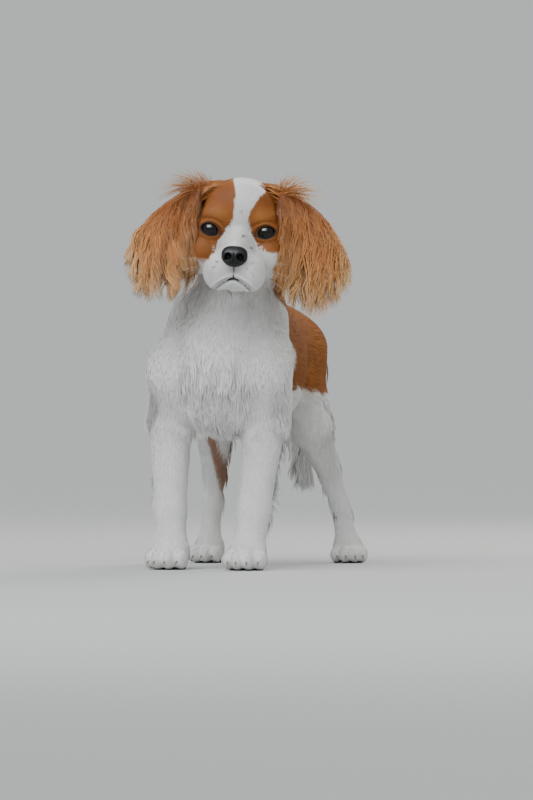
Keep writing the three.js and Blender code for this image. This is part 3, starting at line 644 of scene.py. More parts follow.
def eye_finish(name, centre):
    """Rings of colour about the eye's own axis, broken by fine fibres, under a wet surface."""
    made, tree, wet = blank_finish(name, {"Roughness": 0.06, "Specular IOR Level": 0.5, "IOR": 1.42})
    where = new_node(tree, "TexCoord")
    about = new_node(tree, "Mapping", vector_type="TEXTURE")
    about.inputs["Location"].default_value = centre
    about.inputs["Rotation"].default_value = (0, HEAD_ROLL, HEAD_YAW)
    split = new_node(tree, "SeparateXYZ")
    flat = new_node(tree, "CombineXYZ")
    reach = new_node(tree, "VectorMath", operation="LENGTH")
    rings = new_node(tree, "MapRange", {"From Max": EYE_RADIUS * MM})
    ramp = new_node(tree, "ValToRGB")
    stops = ramp.color_ramp
    stops.elements[0].position, stops.elements[0].color = 0.0, (0.002, 0.0015, 0.0015, 1)
    stops.elements[1].position, stops.elements[1].color = 1.0, (0.40, 0.40, 0.43, 1)
    for place, tone in EYE_TONES:
        stops.elements.new(place).color = tone
    fibres = new_node(tree, "TexNoise", {"Scale": 1400, "Detail": 6})
    mixed = new_node(tree, "Mix", {"Factor": 0.5}, data_type="RGBA", blend_type="MULTIPLY")
    linked(tree, [
        (where.outputs["Object"], about.inputs["Vector"]),
        (about.outputs["Vector"], split.inputs["Vector"]),
        (split.outputs["X"], flat.inputs["X"]),
        (split.outputs["Z"], flat.inputs["Z"]),
        (flat.outputs["Vector"], reach.inputs[0]),
        (reach.outputs["Value"], rings.inputs["Value"]),
        (rings.outputs["Result"], ramp.inputs["Fac"]),
        (where.outputs["Object"], fibres.inputs["Vector"]),
        (ramp.outputs["Color"], mixed.inputs[6]),
        (fibres.outputs["Color"], mixed.inputs[7]),
        (mixed.outputs[2], wet.inputs["Base Color"]),
    ])
    return made


for side, word in BOTH_SIDES:
    deselect()
    bpy.ops.mesh.primitive_uv_sphere_add(segments=64, ring_count=40, radius=EYE_RADIUS * MM)
    eye = bpy.context.object
    eye.name = "eyeball_" + word
    q = points_of(eye)
    bulge = CORNEA_BULGE * step_up(-q[:, 1], EYE_RADIUS * 0.62, EYE_RADIUS)
    q += bulge[:, None] * q / EYE_RADIUS
    middle = from_head([side * EYE_APART / 2, 4, 0]) + DRIFT
    put_points(eye, q @ HEAD_TURN.T + middle)
    eye.data.shade_smooth()
    eye.data.materials.append(eye_finish("moist_eye_" + word, middle * MM))
    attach(eye, "root")
    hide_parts("eye_" + word)

# Lid rims. A thin roll of bare black skin runs round each almond, thicker above, and closes on the
# ball; it widens to a dark corner towards the nose.
RIM_STEPS, RIM_SIDES = 72, 12


def shell_of(name, rings, closed):
    """A mesh from a grid of points, joined round each ring and, if closed, from last ring to first."""
    count, around = len(rings), len(rings[0])
    points = np.concatenate(rings)
    faces = []
    for i in range(count if closed else count - 1):
        for k in range(around):
            a, b = i * around + k, i * around + (k + 1) % around
            c, d = (i + 1) % count * around + (k + 1) % around, (i + 1) % count * around + k
            faces.append((a, b, c, d))
    if not closed:
        faces.append(tuple(range(around))[::-1])
        faces.append(tuple((count - 1) * around + k for k in range(around)))
    mesh = bpy.data.meshes.new(name)
    mesh.from_pydata((points * MM).tolist(), [], faces)
    made = bpy.data.objects.new(name, mesh)
    bpy.context.collection.objects.link(made)
    deselect()
    made.select_set(True)
    bpy.context.view_layer.objects.active = made
    bpy.ops.object.mode_set(mode="EDIT")
    bpy.ops.mesh.select_all(action="SELECT")
    bpy.ops.mesh.normals_make_consistent(inside=False)
    bpy.ops.object.mode_set(mode="OBJECT")
    mesh.shade_smooth()
    return made


def leather_finish(name, tone, cell, roughness, strength, coat=0.0, shine=0.4):
    """Bare skin: fine pebbles from a cell pattern, with broader uneven tone."""
    made, tree, shader = blank_finish(name, {
        "Roughness": roughness,
        "Specular IOR Level": shine,
        "Coat Weight": coat,
        "Coat Roughness": 0.2,
    })
    where = new_node(tree, "TexCoord")
    cells = new_node(tree, "TexVoronoi", {"Scale": cell}, feature="SMOOTH_F1")
    blotch = new_node(tree, "TexNoise", {"Scale": cell / 6})
    ramp = new_node(tree, "ValToRGB")
    ramp.color_ramp.elements[0].color = (*[c * 0.6 for c in tone], 1)
    ramp.color_ramp.elements[1].color = (*[c * 1.6 for c in tone], 1)
    relief = new_node(tree, "Bump", {"Strength": strength, "Distance": 0.0003})
    linked(tree, [
        (where.outputs["Object"], cells.inputs["Vector"]),
        (where.outputs["Object"], blotch.inputs["Vector"]),
        (blotch.outputs["Fac"], ramp.inputs["Fac"]),
        (ramp.outputs["Color"], shader.inputs["Base Color"]),
        (cells.outputs["Distance"], relief.inputs["Height"]),
        (relief.outputs["Normal"], shader.inputs["Normal"]),
    ])
    return made


rim_skin = leather_finish("lid_rim_skin", (0.005, 0.0035, 0.0035), 2600, 0.65, 0.3, 0.0, 0.15)
for side, word in BOTH_SIDES:
    rings = []
    c, s = math.cos(LID_SLANT), math.sin(LID_SLANT)
    for i in range(RIM_STEPS):
        t = 2 * math.pi * i / RIM_STEPS
        half_high = LID_HALF_UP if math.sin(t) > 0 else LID_HALF_DOWN
        inner = max(0, -math.cos(t)) ** 12
        wide_share = math.copysign(abs(math.cos(t)) ** (2 / LID_POINT), math.cos(t))
        along, up = (LID_HALF_WIDE + 0.8 * inner) * wide_share, half_high * math.sin(t) - 0.6 * inner
        x, z = c * along + s * up, -s * along + c * up
        onto = np.array([x, -math.sqrt(max(1, 12.4**2 - x * x - z * z)), z])
        outward = onto / np.linalg.norm(onto)
        away = np.array([x, 0, z]) / math.hypot(x, z)
        thick = 0.75 + 0.3 * max(0, math.sin(t)) + 0.5 * inner
        ring = []
        for k in range(RIM_SIDES):
            a = 2 * math.pi * k / RIM_SIDES
            ring.append(onto + outward * (thick * 0.8 * math.cos(a)) + away * (thick * math.sin(a)))
        ring = np.array(ring) + (EYE_APART / 2, 4, 0)
        ring[:, 0] *= side
        rings.append(from_head(ring) + DRIFT)
    rim = shell_of("lid_rim_" + word, rings, True)
    rim.data.materials.append(rim_skin)
    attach(rim, "root")

# Nose. A pad of black pebbled leather, broad above and narrow below, with two round nostrils that run
# out into slits at the sides, and a groove down the middle that leads to the lip.
deselect()
bpy.ops.mesh.primitive_ico_sphere_add(subdivisions=6, radius=1)
nose = bpy.context.object
nose.name = "nose_leather"
bpy.ops.object.transform_apply(location=True, rotation=True, scale=True)
q = points_of(nose) * MM
narrow = 1 - 0.30 * step_up(-q[:, 2], 0.1, 1.0) - 0.06 * step_up(q[:, 2], 0.4, 1.0)
square = 1 + 0.10 * np.sin(2 * np.arctan2(np.abs(q[:, 2]), np.abs(q[:, 0]))) ** 2
shape = np.c_[q[:, 0] * 13.7 * narrow * square, q[:, 1] * 9.5, q[:, 2] * 11.0 * square]
off, z = np.abs(shape[:, 0]), shape[:, 2]
front = step_up(-q[:, 1], 0.05, 0.5)
wing = 1.2 * hump(off, 10.6, 3.0) * hump(z, 0.5, 5)
hole = np.exp(-((((off - 6.2) / 3.1) ** 2 + ((z + 0.4) / 3.0) ** 2) ** 2))
slit = hump(z + 0.25 * (off - 9), -3.0, 1.1) * step_up(off, 6.5, 8.0)
middle_groove = hump(off, 0, 0.9) * step_up(-z, -6, 1)
shape[:, 1] += front * (7.0 * hole + 3.2 * slit + 1.2 * middle_groove) - wing * front
put_points(nose, from_head(shape + (0, -38.5, -27)) + DRIFT)
nose.data.shade_smooth()
nose.data.materials.append(leather_finish("nose_leather", (0.006, 0.0055, 0.006), 1500, 0.45, 0.5, 0.1, 0.25))
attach(nose, "root")
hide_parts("nose")

# Ear leather. Each ear is a thin flap that rises off the skull, folds over and hangs with its hollow
# towards the cheek; it is one closed sheet with rounded edges, hidden almost wholly by its hair.
EAR_RINGS, EAR_SIDES = 26, 28
EAR_SPINE = np.array([(27, 30, 36), (45, 28, 45), (60, 25, 37), (72, 23, 12), (79, 22, -16)], float)
EAR_WIDE = np.array([0.86, 0.51, 0.0])
EAR_FRONT = np.array([0.51, -0.86, 0.0])
BELL = np.array([79.0, 24.0, -40.0])
EAR_DEEP = np.array([0.30, 0.085, 0.014])
EAR_WARM = np.array([0.50, 0.18, 0.038])
EAR_SANDY = np.array([0.64, 0.33, 0.11])
EAR_PALE = np.array([0.86, 0.60, 0.32])


def along_way(way, share):
    """A smooth run through a row of places; share goes from 0 to 1."""
    share = np.clip(np.asarray(share, float), 0, 1) * (len(way) - 1)
    i = np.minimum(share.astype(int), len(way) - 2)
    t = (share - i)[..., None]
    padded = np.vstack([2 * way[0] - way[1], way, 2 * way[-1] - way[-2]])
    a, b, c, d = (padded[i + k] for k in range(4))
    return 0.5 * (2 * b + (c - a) * t + (2 * a - 5 * b + 4 * c - d) * t**2 + (3 * b - a - 3 * c + d) * t**3)


def unit(v):
    return v / np.maximum(np.linalg.norm(v, axis=-1, keepdims=True), 1e-9)


def ear_sheet(along, across):
    """Places on the left ear's flap, with the way towards the skull, the way on along it and across it."""
    along, across = np.asarray(along, float), np.asarray(across, float)
    half = 12 + 22 * np.sin(0.7 * np.pi * np.clip(along, 0, 1)) - 5 * along**3
    turn_in = np.clip(along * 1.7 - 0.35, 0, 1)[:, None]
    wide = unit(np.array([0, 1, -0.1]) * (1 - turn_in) + EAR_WIDE * turn_in)
    onward = unit(along_way(EAR_SPINE, along + 0.01) - along_way(EAR_SPINE, along - 0.01))
    inward = unit(np.cross(wide, onward))
    cup = (7 - turn_in[:, 0]) * across**2
    spot = along_way(EAR_SPINE, along) + wide * (half * across)[:, None] + inward * cup[:, None]
    return spot, inward, onward, wide


for side, word in BOTH_SIDES:
    rings = []
    for along in np.linspace(0, 1, EAR_RINGS):
        close = math.sqrt(max(0.02, 1.06 - along**6))
        a = np.linspace(0, 2 * math.pi, EAR_SIDES, endpoint=False)
        spot, inward, _, _ = ear_sheet(np.full(EAR_SIDES, along), np.cos(a) * min(1, close))
        ring = spot + inward * (1.3 * np.sin(a) * close)[:, None]
        ring[:, 0] *= side
        rings.append(from_head(ring) + DRIFT)
    flap = shell_of("ear_leather_" + word, rings, False)
    colour_in(flap, np.tile(EAR_DEEP, (len(flap.data.vertices), 1)))
    flap.data.materials.append(hair_finish("ear_leather_" + word, 0.75, 600.0, 0.3, glow=0.2))
    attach(flap, "root")
    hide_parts("ear_" + word)

# Claws and pads. Four horn-coloured claws curve out of each paw's toes, and black leather pads under
# the toes and heel carry the dog on the floor.
CLAW_SIDES, CLAW_RINGS = 10, 9
claws = []
for leg in PAWS:
    for x, y in TOES:
        root, size = paw_spot(leg, x, y - 9, 8.5), PAWS[leg][1]
        yaw = math.radians(PAWS[leg][2])
        ahead = np.array([math.sin(yaw), -math.cos(yaw), 0])
        sideways = np.array([math.cos(yaw), math.sin(yaw), 0])
        rings = []
        for t in np.linspace(0, 1, CLAW_RINGS):
            spot = root + ahead * (7.5 * math.sin(1.2 * t)) * size - np.array([0, 0, 6.2 * t**1.8 * size])
            radius = 1.15 * (1 - t) ** 0.6 + 0.12
            a = np.linspace(0, 2 * math.pi, CLAW_SIDES, endpoint=False)
            up = np.cross(sideways, ahead)
            around = np.cos(a)[:, None] * sideways * 0.8 + np.sin(a)[:, None] * up
            rings.append(spot + radius * around + DRIFT)
        claws.append(shell_of("claw", rings, False))
claws = joined(claws, "claws")
claws.data.materials.append(leather_finish("claw_horn", (0.20, 0.15, 0.125), 900, 0.4, 0.12, 0.2))
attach(claws, "root")

pads = []
PAD_SPOTS = [(x * 0.85, y + 8, 4.2, 4.8) for x, y in TOES] + [(0, 5, 8.5, 6.5)]
for leg in PAWS:
    size = PAWS[leg][1]
    for x, y, wide, deep in PAD_SPOTS:
        deselect()
        bpy.ops.mesh.primitive_uv_sphere_add(segments=24, ring_count=16, radius=MM)
        pad = bpy.context.object
        q = points_of(pad) * (wide * size, deep * size, 4.0 * size)
        q[:, 2] = np.maximum(q[:, 2], -2.4 * size)
        put_points(pad, q + paw_spot(leg, x, y, 0) + (0, 0, 2.4 * size) + DRIFT)
        pads.append(pad)
pads = joined(pads, "paw_pads")
pads.data.shade_smooth()
pads.data.materials.append(leather_finish("pad_leather", (0.03, 0.022, 0.02), 800, 0.7, 0.6))
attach(pads, "root")

# Coat. Every tuft and lock is a thin closed blade of three sides that tapers to a point, rooted in the
# skin and bent along the lie of the hair. Each part's tufts are one mesh with one map, in which a
# tuft keeps a small patch where its root lies on the unrolled skin.
rng = np.random.default_rng(7)
PATCH = 0.0015
skin.data.calc_loop_triangles()
corner_index = np.empty(len(skin.data.loop_triangles) * 3, int)
skin.data.loop_triangles.foreach_get("vertices", corner_index)
corner_index = corner_index.reshape(-1, 3)
skin_out = slope(flesh, skin_points)
centres = skin_points[corner_index].mean(1)
sides_a = skin_points[corner_index[:, 1]] - skin_points[corner_index[:, 0]]
sides_b = skin_points[corner_index[:, 2]] - skin_points[corner_index[:, 0]]
areas = 0.5 * np.linalg.norm(np.cross(sides_a, sides_b), axis=1)
fields = part_fields(centres)
part_names = list(fields)
part_of = np.array([fields[k] for k in part_names]).argmin(0)


def roots_on(parts, count, weight=None):
    """Evenly spread places on some parts of the skin, with the way out of the skin at each."""
    keep = np.isin(part_of, [part_names.index(k) for k in parts])
    load = areas * keep
    if weight is not None:
        load = load * weight(centres)
    total = np.cumsum(load)
    picks = np.searchsorted(total, (np.arange(count) + rng.random(count)) / count * total[-1])
    picks = np.minimum(picks, len(load) - 1)
    u, w = rng.random((2, count))
    flip = u + w > 1
    u, w = np.where(flip, 1 - u, u), np.where(flip, 1 - w, w)
    corners = corner_index[picks]
    mix = np.c_[1 - u - w, u, w][:, :, None]
    return (skin_points[corners] * mix).sum(1), unit((skin_out[corners] * mix).sum(1))


def woven(name, points, across, width, map_at, colour, finish, ridge=0.35, facing=None, soft=0.6):
    """One mesh of closed three-sided blades. points is (blades, steps, 3), the last step the tip.
    facing is the way out of the coat at each blade, towards which its shading is eased."""
    blades, steps = points.shape[:2]
    rings = steps - 1
    s = np.arange(rings) / rings
    swell = (0.6 + 1.4 * s * (1 - s)) * (1 - s**3) ** 0.5
    onward = unit(np.gradient(points, axis=1)[:, :rings])
    across = unit(across[:, :rings] - onward * (across[:, :rings] * onward).sum(2, keepdims=True))
    up = np.cross(across, onward)
    half = (0.5 * width[:, None] * swell)[:, :, None]
    body = points[:, :rings]
    aside, above = across * half, up * half * ridge
    ring = np.stack([body - aside - above * 0.5, body + aside - above * 0.5, body + above * 1.2], axis=2)
    verts = np.concatenate([ring.reshape(blades, rings * 3, 3), points[:, -1:]], axis=1)
    per = rings * 3 + 1
    tris = [(0, 1, 2)]
    for i in range(rings - 1):
        for k in range(3):
            a, b, c, d = i * 3 + k, i * 3 + (k + 1) % 3, (i + 1) * 3 + (k + 1) % 3, (i + 1) * 3 + k
            tris += [(a, c, b), (a, d, c)]
    last = (rings - 1) * 3
    tris += [(last + (k + 1) % 3, last + k, per - 1) for k in range(3)]
    tris = (np.array(tris)[None] + per * np.arange(blades)[:, None, None]).reshape(-1, 3)
    mesh = bpy.data.meshes.new(name)
    mesh.vertices.add(blades * per)
    mesh.vertices.foreach_set("co", ((verts.reshape(-1, 3) + DRIFT) * MM).ravel())
    mesh.loops.add(len(tris) * 3)
    mesh.loops.foreach_set("vertex_index", tris.ravel())
    mesh.polygons.add(len(tris))
    mesh.polygons.foreach_set("loop_start", np.arange(len(tris)) * 3)
    mesh.update(calc_edges=True)
    mesh.shade_smooth()
    spread = np.zeros((per, 2))
    spread[:-1, 0] = np.tile([-1, 1, 0], rings)
    spread[:-1, 1] = np.repeat(2 * s - 1, 3)
    spread[-1, 1] = 1
    flat = (np.clip(map_at, 0.004, 0.996)[:, None] + PATCH * spread).reshape(-1, 2)
    layer = mesh.uv_layers.new(name="OFBake")
    layer.data.foreach_set("uv", flat[tris.ravel()].ravel())
    if facing is not None:
        own = np.stack([-across - 0.3 * up, across - 0.3 * up, up], axis=2).reshape(blades, rings * 3, 3)
        own = np.concatenate([own, own[:, -1:]], axis=1)
        eased_way = unit(own * (1 - soft) + facing[:, None] * soft)
        mesh.normals_split_custom_set_from_vertices(eased_way.reshape(-1, 3).tolist())
    made = bpy.data.objects.new(name, mesh)
    bpy.context.collection.objects.link(made)
    colour_in(made, np.clip(colour, 0, 1).reshape(-1, 3))
    mesh.materials.append(finish)
    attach(made, "root")
    return made


def blade_share(steps):
    """How far along a blade each of its points lies, from 0 at the root to 1 at the tip."""
    rings = steps - 1
    return np.r_[np.repeat(np.arange(rings) / rings, 3), 1.0]


def shaded(base, steps, root_tone, tip_tone, spread):
    """A colour for every point of every blade, dark at the root, light at the tip, each a little off."""
    run = root_tone + (tip_tone - root_tone) * blade_share(steps)
    own = 1 + spread * rng.standard_normal(len(base))
    return base[:, None, :] * run[None, :, None] * np.clip(own, 0.6, 1.4)[:, None, None]


WAVE_LENGTH, WAVE_SPREAD = 30, 60.0


def tufts(root, out, lie, length, steps, lift, sag=0.0, curl=0.0, sink=0.8):
    """Centre lines that leave the skin, lift, bend over and run along the lie of the coat."""
    count = len(root)
    s = np.linspace(0, 1, steps)[None, :, None]
    lie = unit(lie - out * (lie * out).sum(1, keepdims=True))
    side = np.cross(lie, out)
    length = np.broadcast_to(length, count)[:, None, None]
    lift = np.broadcast_to(lift, count)[:, None, None]
    rise = -sink * (1 - s) ** 3 + lift * length * (1.7 * s - 1.1 * s**2)
    phase = (rng.random(count) * 1.2 + 6 * ripple(root, WAVE_SPREAD, 3))[:, None, None]
    swing = curl * s * np.sin(phase + s * length * 6.28 / WAVE_LENGTH)
    points = root[:, None] + lie[:, None] * (length * s * (1 - 0.08 * s)) + out[:, None] * rise
    points = points + side[:, None] * swing - np.array([0, 0, 1.0]) * (sag * s**2)
    return points, np.repeat(side[:, None], steps, 1)


def pressed(points, out, height):
    """Hair pressed down until it follows the skin, its tip at a given height."""
    steps = points.shape[1]
    for i in range(1, steps):
        over = np.clip(flesh(points[:, i]) - height * i / (steps - 1), -5, 8)
        points[:, i] -= out * over[:, None]
    return points


def gathered(points, size, pull):
    """Tips drawn together in small bunches, so that the coat parts into locks."""
    root = points[:, 0]
    uneven = np.stack([ripple(root, 3 * size, seed) for seed in (1, 2, 3)], axis=1)
    cell = np.floor((root + 0.35 * size * uneven) / size).astype(int)
    bunch = np.unique(cell, axis=0, return_inverse=True)[1].ravel()
    count = np.bincount(bunch)
    tips = np.stack([np.bincount(bunch, points[:, -1, k]) / count for k in range(3)], axis=1)
    s = np.linspace(0, 1, points.shape[1])[None, :, None]
    return points + (tips[bunch] - points[:, -1])[:, None] * (pull * s**1.6)


def unrolled(p, axis_start, axis_end):
    """Where places lie on the skin unrolled about a line: turn about it, and way along it."""
    axis_start, axis_end = np.array(axis_start, float), np.array(axis_end, float)
    way = axis_end - axis_start
    reach = np.linalg.norm(way)
    way = way / reach
    first = unit(np.cross(way, np.array([0.3, 0.2, 1.0])))
    second = np.cross(way, first)
    q = p - axis_start
    turn = np.arctan2(q @ second, q @ first) / (2 * math.pi) + 0.5
    return np.c_[0.01 + 0.98 * turn, np.clip(0.5 + (q @ way / reach - 0.5) * 0.96, 0.01, 0.99)]


def head_map(p):
    return unrolled(p, from_head([0, -44, -20]), from_head([0, 96, 10]))


def trunk_map(p):
    return unrolled(p, (8, -50, 225), (0, 285, 238))


# Face. Hair a few millimetres long parts on the bridge of the nose, runs up the forehead and back
# over the cheeks, and clears the lids, the nose leather and the line of the mouth.
def head_lie(h):
    x, y, z = h.T
    side = np.tanh(x / 12)
    up = step_up(z, -12, 14)
    low = step_up(-z, 30, 52)
    crown = step_up(z, 30, 52)
    way = np.c_[side * (0.45 + 0.25 * low), 0.25 + 0.9 * (1 - up) + 1.2 * crown, -0.2 + 1.15 * up - 0.9 * low]
    way[:, 2] -= 1.1 * crown * step_up(y, 30, 90)
    way[:, 2] -= 0.6 * step_up(np.abs(x), 26, 44) * step_up(y, 0, 30)
    way[:, 2] -= 1.2 * step_up(y, 60, 90)
    return way @ HEAD_TURN.T


BARE_LIP = 1.6


def clear_of_face(h):
    """True where hair may root: off the eyes, the nose pad and the mouth."""
    clear = np.ones(len(h), bool)
    for side in SIDES:
        clear &= ~((lid_share(h, side)[0] < 1.16) & (h[:, 1] < 6))
    clear &= ((h[:, 0] / 14.0) ** 2 + ((h[:, 2] + 27) / 11.6) ** 2 > 1) | (h[:, 1] > -22)
    clear &= off_mouth(h) > BARE_LIP
    clear &= off_philtrum(h) > 0.8
    return clear


def near_face(p):
    h = to_head(p)
    return 0.3 + 2.4 * step_up(22 - h[:, 1], 0, 26)


HEAD_TUFTS, COAT_STEPS = 27000, 3
root, out = roots_on(["head"], HEAD_TUFTS, near_face)
h = to_head(root)
keep = clear_of_face(h)
root, out, h = root[keep], out[keep], h[keep]
muzzle = step_up(-h[:, 1], -4, 14)
back = step_up(h[:, 1], 8, 50)
jaw = step_up(-h[:, 2], 22, 48) * step_up(h[:, 1], -8, 14)
by_lid = np.min([lid_share(h, s)[0] + np.where(h[:, 1] > 8, 9, 0) for s in SIDES], axis=0)
length = (6.2 - 2.4 * muzzle + 7 * back + 8 * jaw) * (0.4 + 0.6 * step_up(by_lid, 1.1, 2.4))
length *= 0.2 + 0.8 * step_up(off_mouth(h), 1.5, 8)
crown = step_up(h[:, 2], 40, 52)
length *= (1 - 0.3 * crown) * rng.uniform(0.8, 1.2, len(root))
width = 0.74 - 0.2 * muzzle + 0.75 * back + 0.5 * jaw
lie = head_lie(h) + 0.13 * rng.standard_normal(root.shape)
lift = (0.10 + 0.03 * back + 0.06 * jaw) * (1 - 0.7 * crown)
points, across = tufts(root, out, lie, length, COAT_STEPS, lift, curl=0.3, sink=0.4)
points = pressed(points, out, 0.5 + 0.05 * length * (1 + jaw))
base, _ = markings(root)
colour = shaded(base, COAT_STEPS, 0.88, 1.08, 0.05)
place = head_map(root)
head_hair = hair_finish("face_hair", 0.6, 900.0, 0.15)
for word, pick in (("left", h[:, 0] >= 0), ("right", h[:, 0] < 0)):
    woven("coat_head_" + word, points[pick], across[pick], width[pick], place[pick], colour[pick], head_hair,
          0.2, out[pick], 0.75)

# Body. The hair is silky and close on the back and flanks, and lies from the neck towards the tail
# and down; on the chest it falls, and under the throat it turns round a whorl.
WHORL = np.array([-6.0, -46.0, 246.0])


def body_lie(p, out):
    x, y, z = p.T
    chest = step_up(-out[:, 1], 0.1, 0.6) * step_up(60 - y, 0, 60)
    neck = step_up(z, 262, 300) * step_up(70 - y, 0, 50)
    rump = step_up(y, 225, 268)
    way = np.c_[0.05 * np.sign(x - 9), np.full(len(p), 0.9), np.full(len(p), -0.42)]
    way[:, 1] += -1.0 * chest - 0.55 * neck - 0.5 * rump
    way[:, 2] += -0.9 * chest - 0.8 * neck - 0.6 * rump
    way[:, 2] -= 0.35 * step_up(190 - z, 0, 40)
    way += 0.10 * np.c_[ripple(p, 70, 11), ripple(p, 80, 12), ripple(p, 60, 13)]
    swirl = 0.8 * np.exp(-(np.linalg.norm(p - WHORL, axis=1) / 15) ** 2)[:, None]
    turned = np.cross(out, p - WHORL) / 12
    return way * (1 - swirl) + turned * swirl


BODY_TUFTS = 40000
BAND_ENDS = [6, 56, 130]
root, out = roots_on(["neck", "trunk"], BODY_TUFTS, lambda p: 1 + 0.5 * step_up(40 - p[:, 1], 0, 60))
x, y, z = root.T
chest = step_up(-out[:, 1], 0.0, 0.6) * step_up(50 - y, 0, 60)
middle = chest * step_up(46 - np.abs(x - 9), 0, 22) * step_up(244 - z, 0, 40)
belly = step_up(-out[:, 2], 0.2, 0.8)
thigh = step_up(y, 215, 255) * step_up(240 - z, 0, 30)
arm = step_up(208 - z, 0, 30) * step_up(70 - y, 0, 30) * (1 - middle)
elbow = step_up(np.abs(out[:, 0]), 0.55, 0.9) * arm
length = (15 + 7 * middle + 6 * belly + 2 * thigh - 6 * arm + 12 * elbow) * rng.uniform(0.8, 1.2, len(root))
width = 1.45 - 0.1 * chest
lie = body_lie(root, out) + 0.07 * rng.standard_normal(root.shape)
lift = 0.06 + 0.02 * middle + 0.08 * elbow + 0.02 * rng.random(len(root))
points, across = tufts(root, out, lie, length, COAT_STEPS, lift, curl=0.8)
points = gathered(points, 7.0, 0.2)
points = pressed(points, out, 0.5 + 0.02 * length + 3.5 * elbow)
base, _ = markings(root)
colour = shaded(base, COAT_STEPS, 0.97, 1.03, 0.03)
lit = unit(out + [0, -0.1, 0.5])
place = trunk_map(root)
body_hair = hair_finish("body_hair", 0.7, 700.0, 0.15, shine=0.1)
bands = np.digitize(y, BAND_ENDS)
for band in range(len(BAND_ENDS) + 1):
    pick = bands == band
    woven(f"coat_body_{band}", points[pick], across[pick], width[pick], place[pick], colour[pick], body_hair,
          0.12, lit[pick], 0.85)

# Frill and belly fringe. Longer locks, gathered in small bunches, hang off the breastbone and brisket
# and along the keel of the belly.
def bunched(root, out, parts_count, spread):
    """Hairs gathered about each lock's root."""
    lock = np.repeat(np.arange(len(root)), parts_count)
    jitter = rng.standard_normal((len(lock), 3)) * spread
    jitter -= out[lock] * (jitter * out[lock]).sum(1, keepdims=True)
    return lock, root[lock] + jitter


def frill_weight(p):
    within = step_up(42 - np.abs(p[:, 0] - 9), 0, 16)
    return within * step_up(240 - p[:, 2], 0, 40) * step_up(40 - p[:, 1], 0, 50) * step_up(p[:, 2], 120, 140)


def fringe_weight(p):
    return step_up(176 - p[:, 2], 0, 30) * step_up(p[:, 1], 20, 60)


FRILL_LOCKS, FRINGE_LOCKS, FRILL_STRANDS, FRILL_STEPS = 230, 150, 9, 5
root, out = roots_on(["trunk"], FRILL_LOCKS, frill_weight)
low_root, low_out = roots_on(["trunk"], FRINGE_LOCKS, fringe_weight)
root, out = np.vstack([root, low_root]), np.vstack([out, low_out])
lock, spots = bunched(root, out, FRILL_STRANDS, 2.6)
keel = np.arange(len(root)) >= FRILL_LOCKS
lie = np.where(keel[:, None], [0.0, 0.7, -0.8], [0.0, 0.05, -1.0])[lock]
lie = lie + (0.12 * rng.standard_normal((len(root), 3)))[lock]
length = (rng.uniform(17, 27, len(root)) - 3 * keel)[lock]
length = length * rng.uniform(0.85, 1.1, len(lock))
points, across = tufts(spots, out[lock], lie, length, FRILL_STEPS, 0.08, 2.0, 1.2)
base, _ = markings(spots)
colour = shaded(base, FRILL_STEPS, 0.92, 1.05, 0.035)
woven("coat_frill", points, across, np.full(len(lock), 1.1), trunk_map(spots), colour, body_hair,
      0.3, unit(out[lock] + [0, 0, 0.5]), 0.5)

# Legs and paws. The hair is short and flat in front and grows into feathering behind the forearm,
# breeches and hock; between the toes it is short again.
LEG_TUFTS = 5000
for leg, masses in LEGS.items():
    root, out = roots_on([leg, "paw_" + leg], LEG_TUFTS)
    x, y, z = root.T
    behind = step_up(out[:, 1], 0.15, 0.8) * step_up(z, 34, 60)
    foot = step_up(32 - z, 0, 12)
    lie = np.c_[0 * x, 0.12 + 0.4 * behind - 1.0 * foot, -1.0 + 0.3 * foot]
    lie = lie + 0.08 * rng.standard_normal(root.shape)
    length = 8.5 + 3 * step_up(z, 100, 150) + 5 * behind - 4.5 * foot
    length = length * rng.uniform(0.8, 1.2, len(root))
    length = np.minimum(length, np.maximum(z - 1.5, 3) / 0.8)
    width = 1.15 - 0.3 * foot
    points, across = tufts(root, out, lie, length, COAT_STEPS, 0.05 + 0.06 * behind, curl=0.4)
    points = pressed(points, out, 0.4 + 0.02 * length + 1.5 * behind)
    points[..., 2] = np.maximum(points[..., 2], 0.6)
    base, _ = markings(root)
    top, foot_at = masses[0][1], np.array([*PAWS[leg][0], 0.0])
    place = unrolled(root, foot_at, top)
    colour = shaded(base, COAT_STEPS, 0.92, 1.04, 0.035)
    woven("coat_" + leg, points, across, width, place, colour, body_hair, 0.2,
          unit(out + [0, 0, 0.4]), 0.65)


def feather_weight(p):
    way = slope(flesh, p)
    rear = step_up(way[:, 1], 0.3, 0.8)
    on_leg = (p[:, 2] < 160) | ((p[:, 1] > 225) & (p[:, 2] < 225))
    return rear * step_up(p[:, 2], 46, 66) * on_leg


FEATHER_LOCKS, FEATHER_STRANDS, FEATHER_STEPS = 360, 9, 6
root, out = roots_on([*LEGS, "trunk"], FEATHER_LOCKS, feather_weight)
lock, spots = bunched(root, out, FEATHER_STRANDS, 1.8)
hind = root[:, 1] > 150
high = step_up(root[:, 2], 60, 140)
length = (np.where(hind, 18, 24) + 12 * high)[lock] * rng.uniform(0.7, 1.1, len(lock))
sideways = np.c_[0.4 * np.sign(root[:, 0] - 9) * (root[:, 1] < 150), np.zeros((len(root), 2))]
lie = np.array([0, 0.6, -0.9]) + (sideways + 0.2 * rng.standard_normal((len(root), 3)))[lock]
points, across = tufts(spots, out[lock], lie, length, FEATHER_STEPS, 0.26, 3.0, 1.6)
points[..., 2] = np.maximum(points[..., 2], 0.8)
base, _ = markings(spots)
woven("coat_feathering", points, across, np.full(len(lock), 1.0), unrolled(spots, (0, 140, 0), (0, 140, 230)),
      shaded(base, FEATHER_STEPS, 0.97, 1.05, 0.035), body_hair, 0.4)

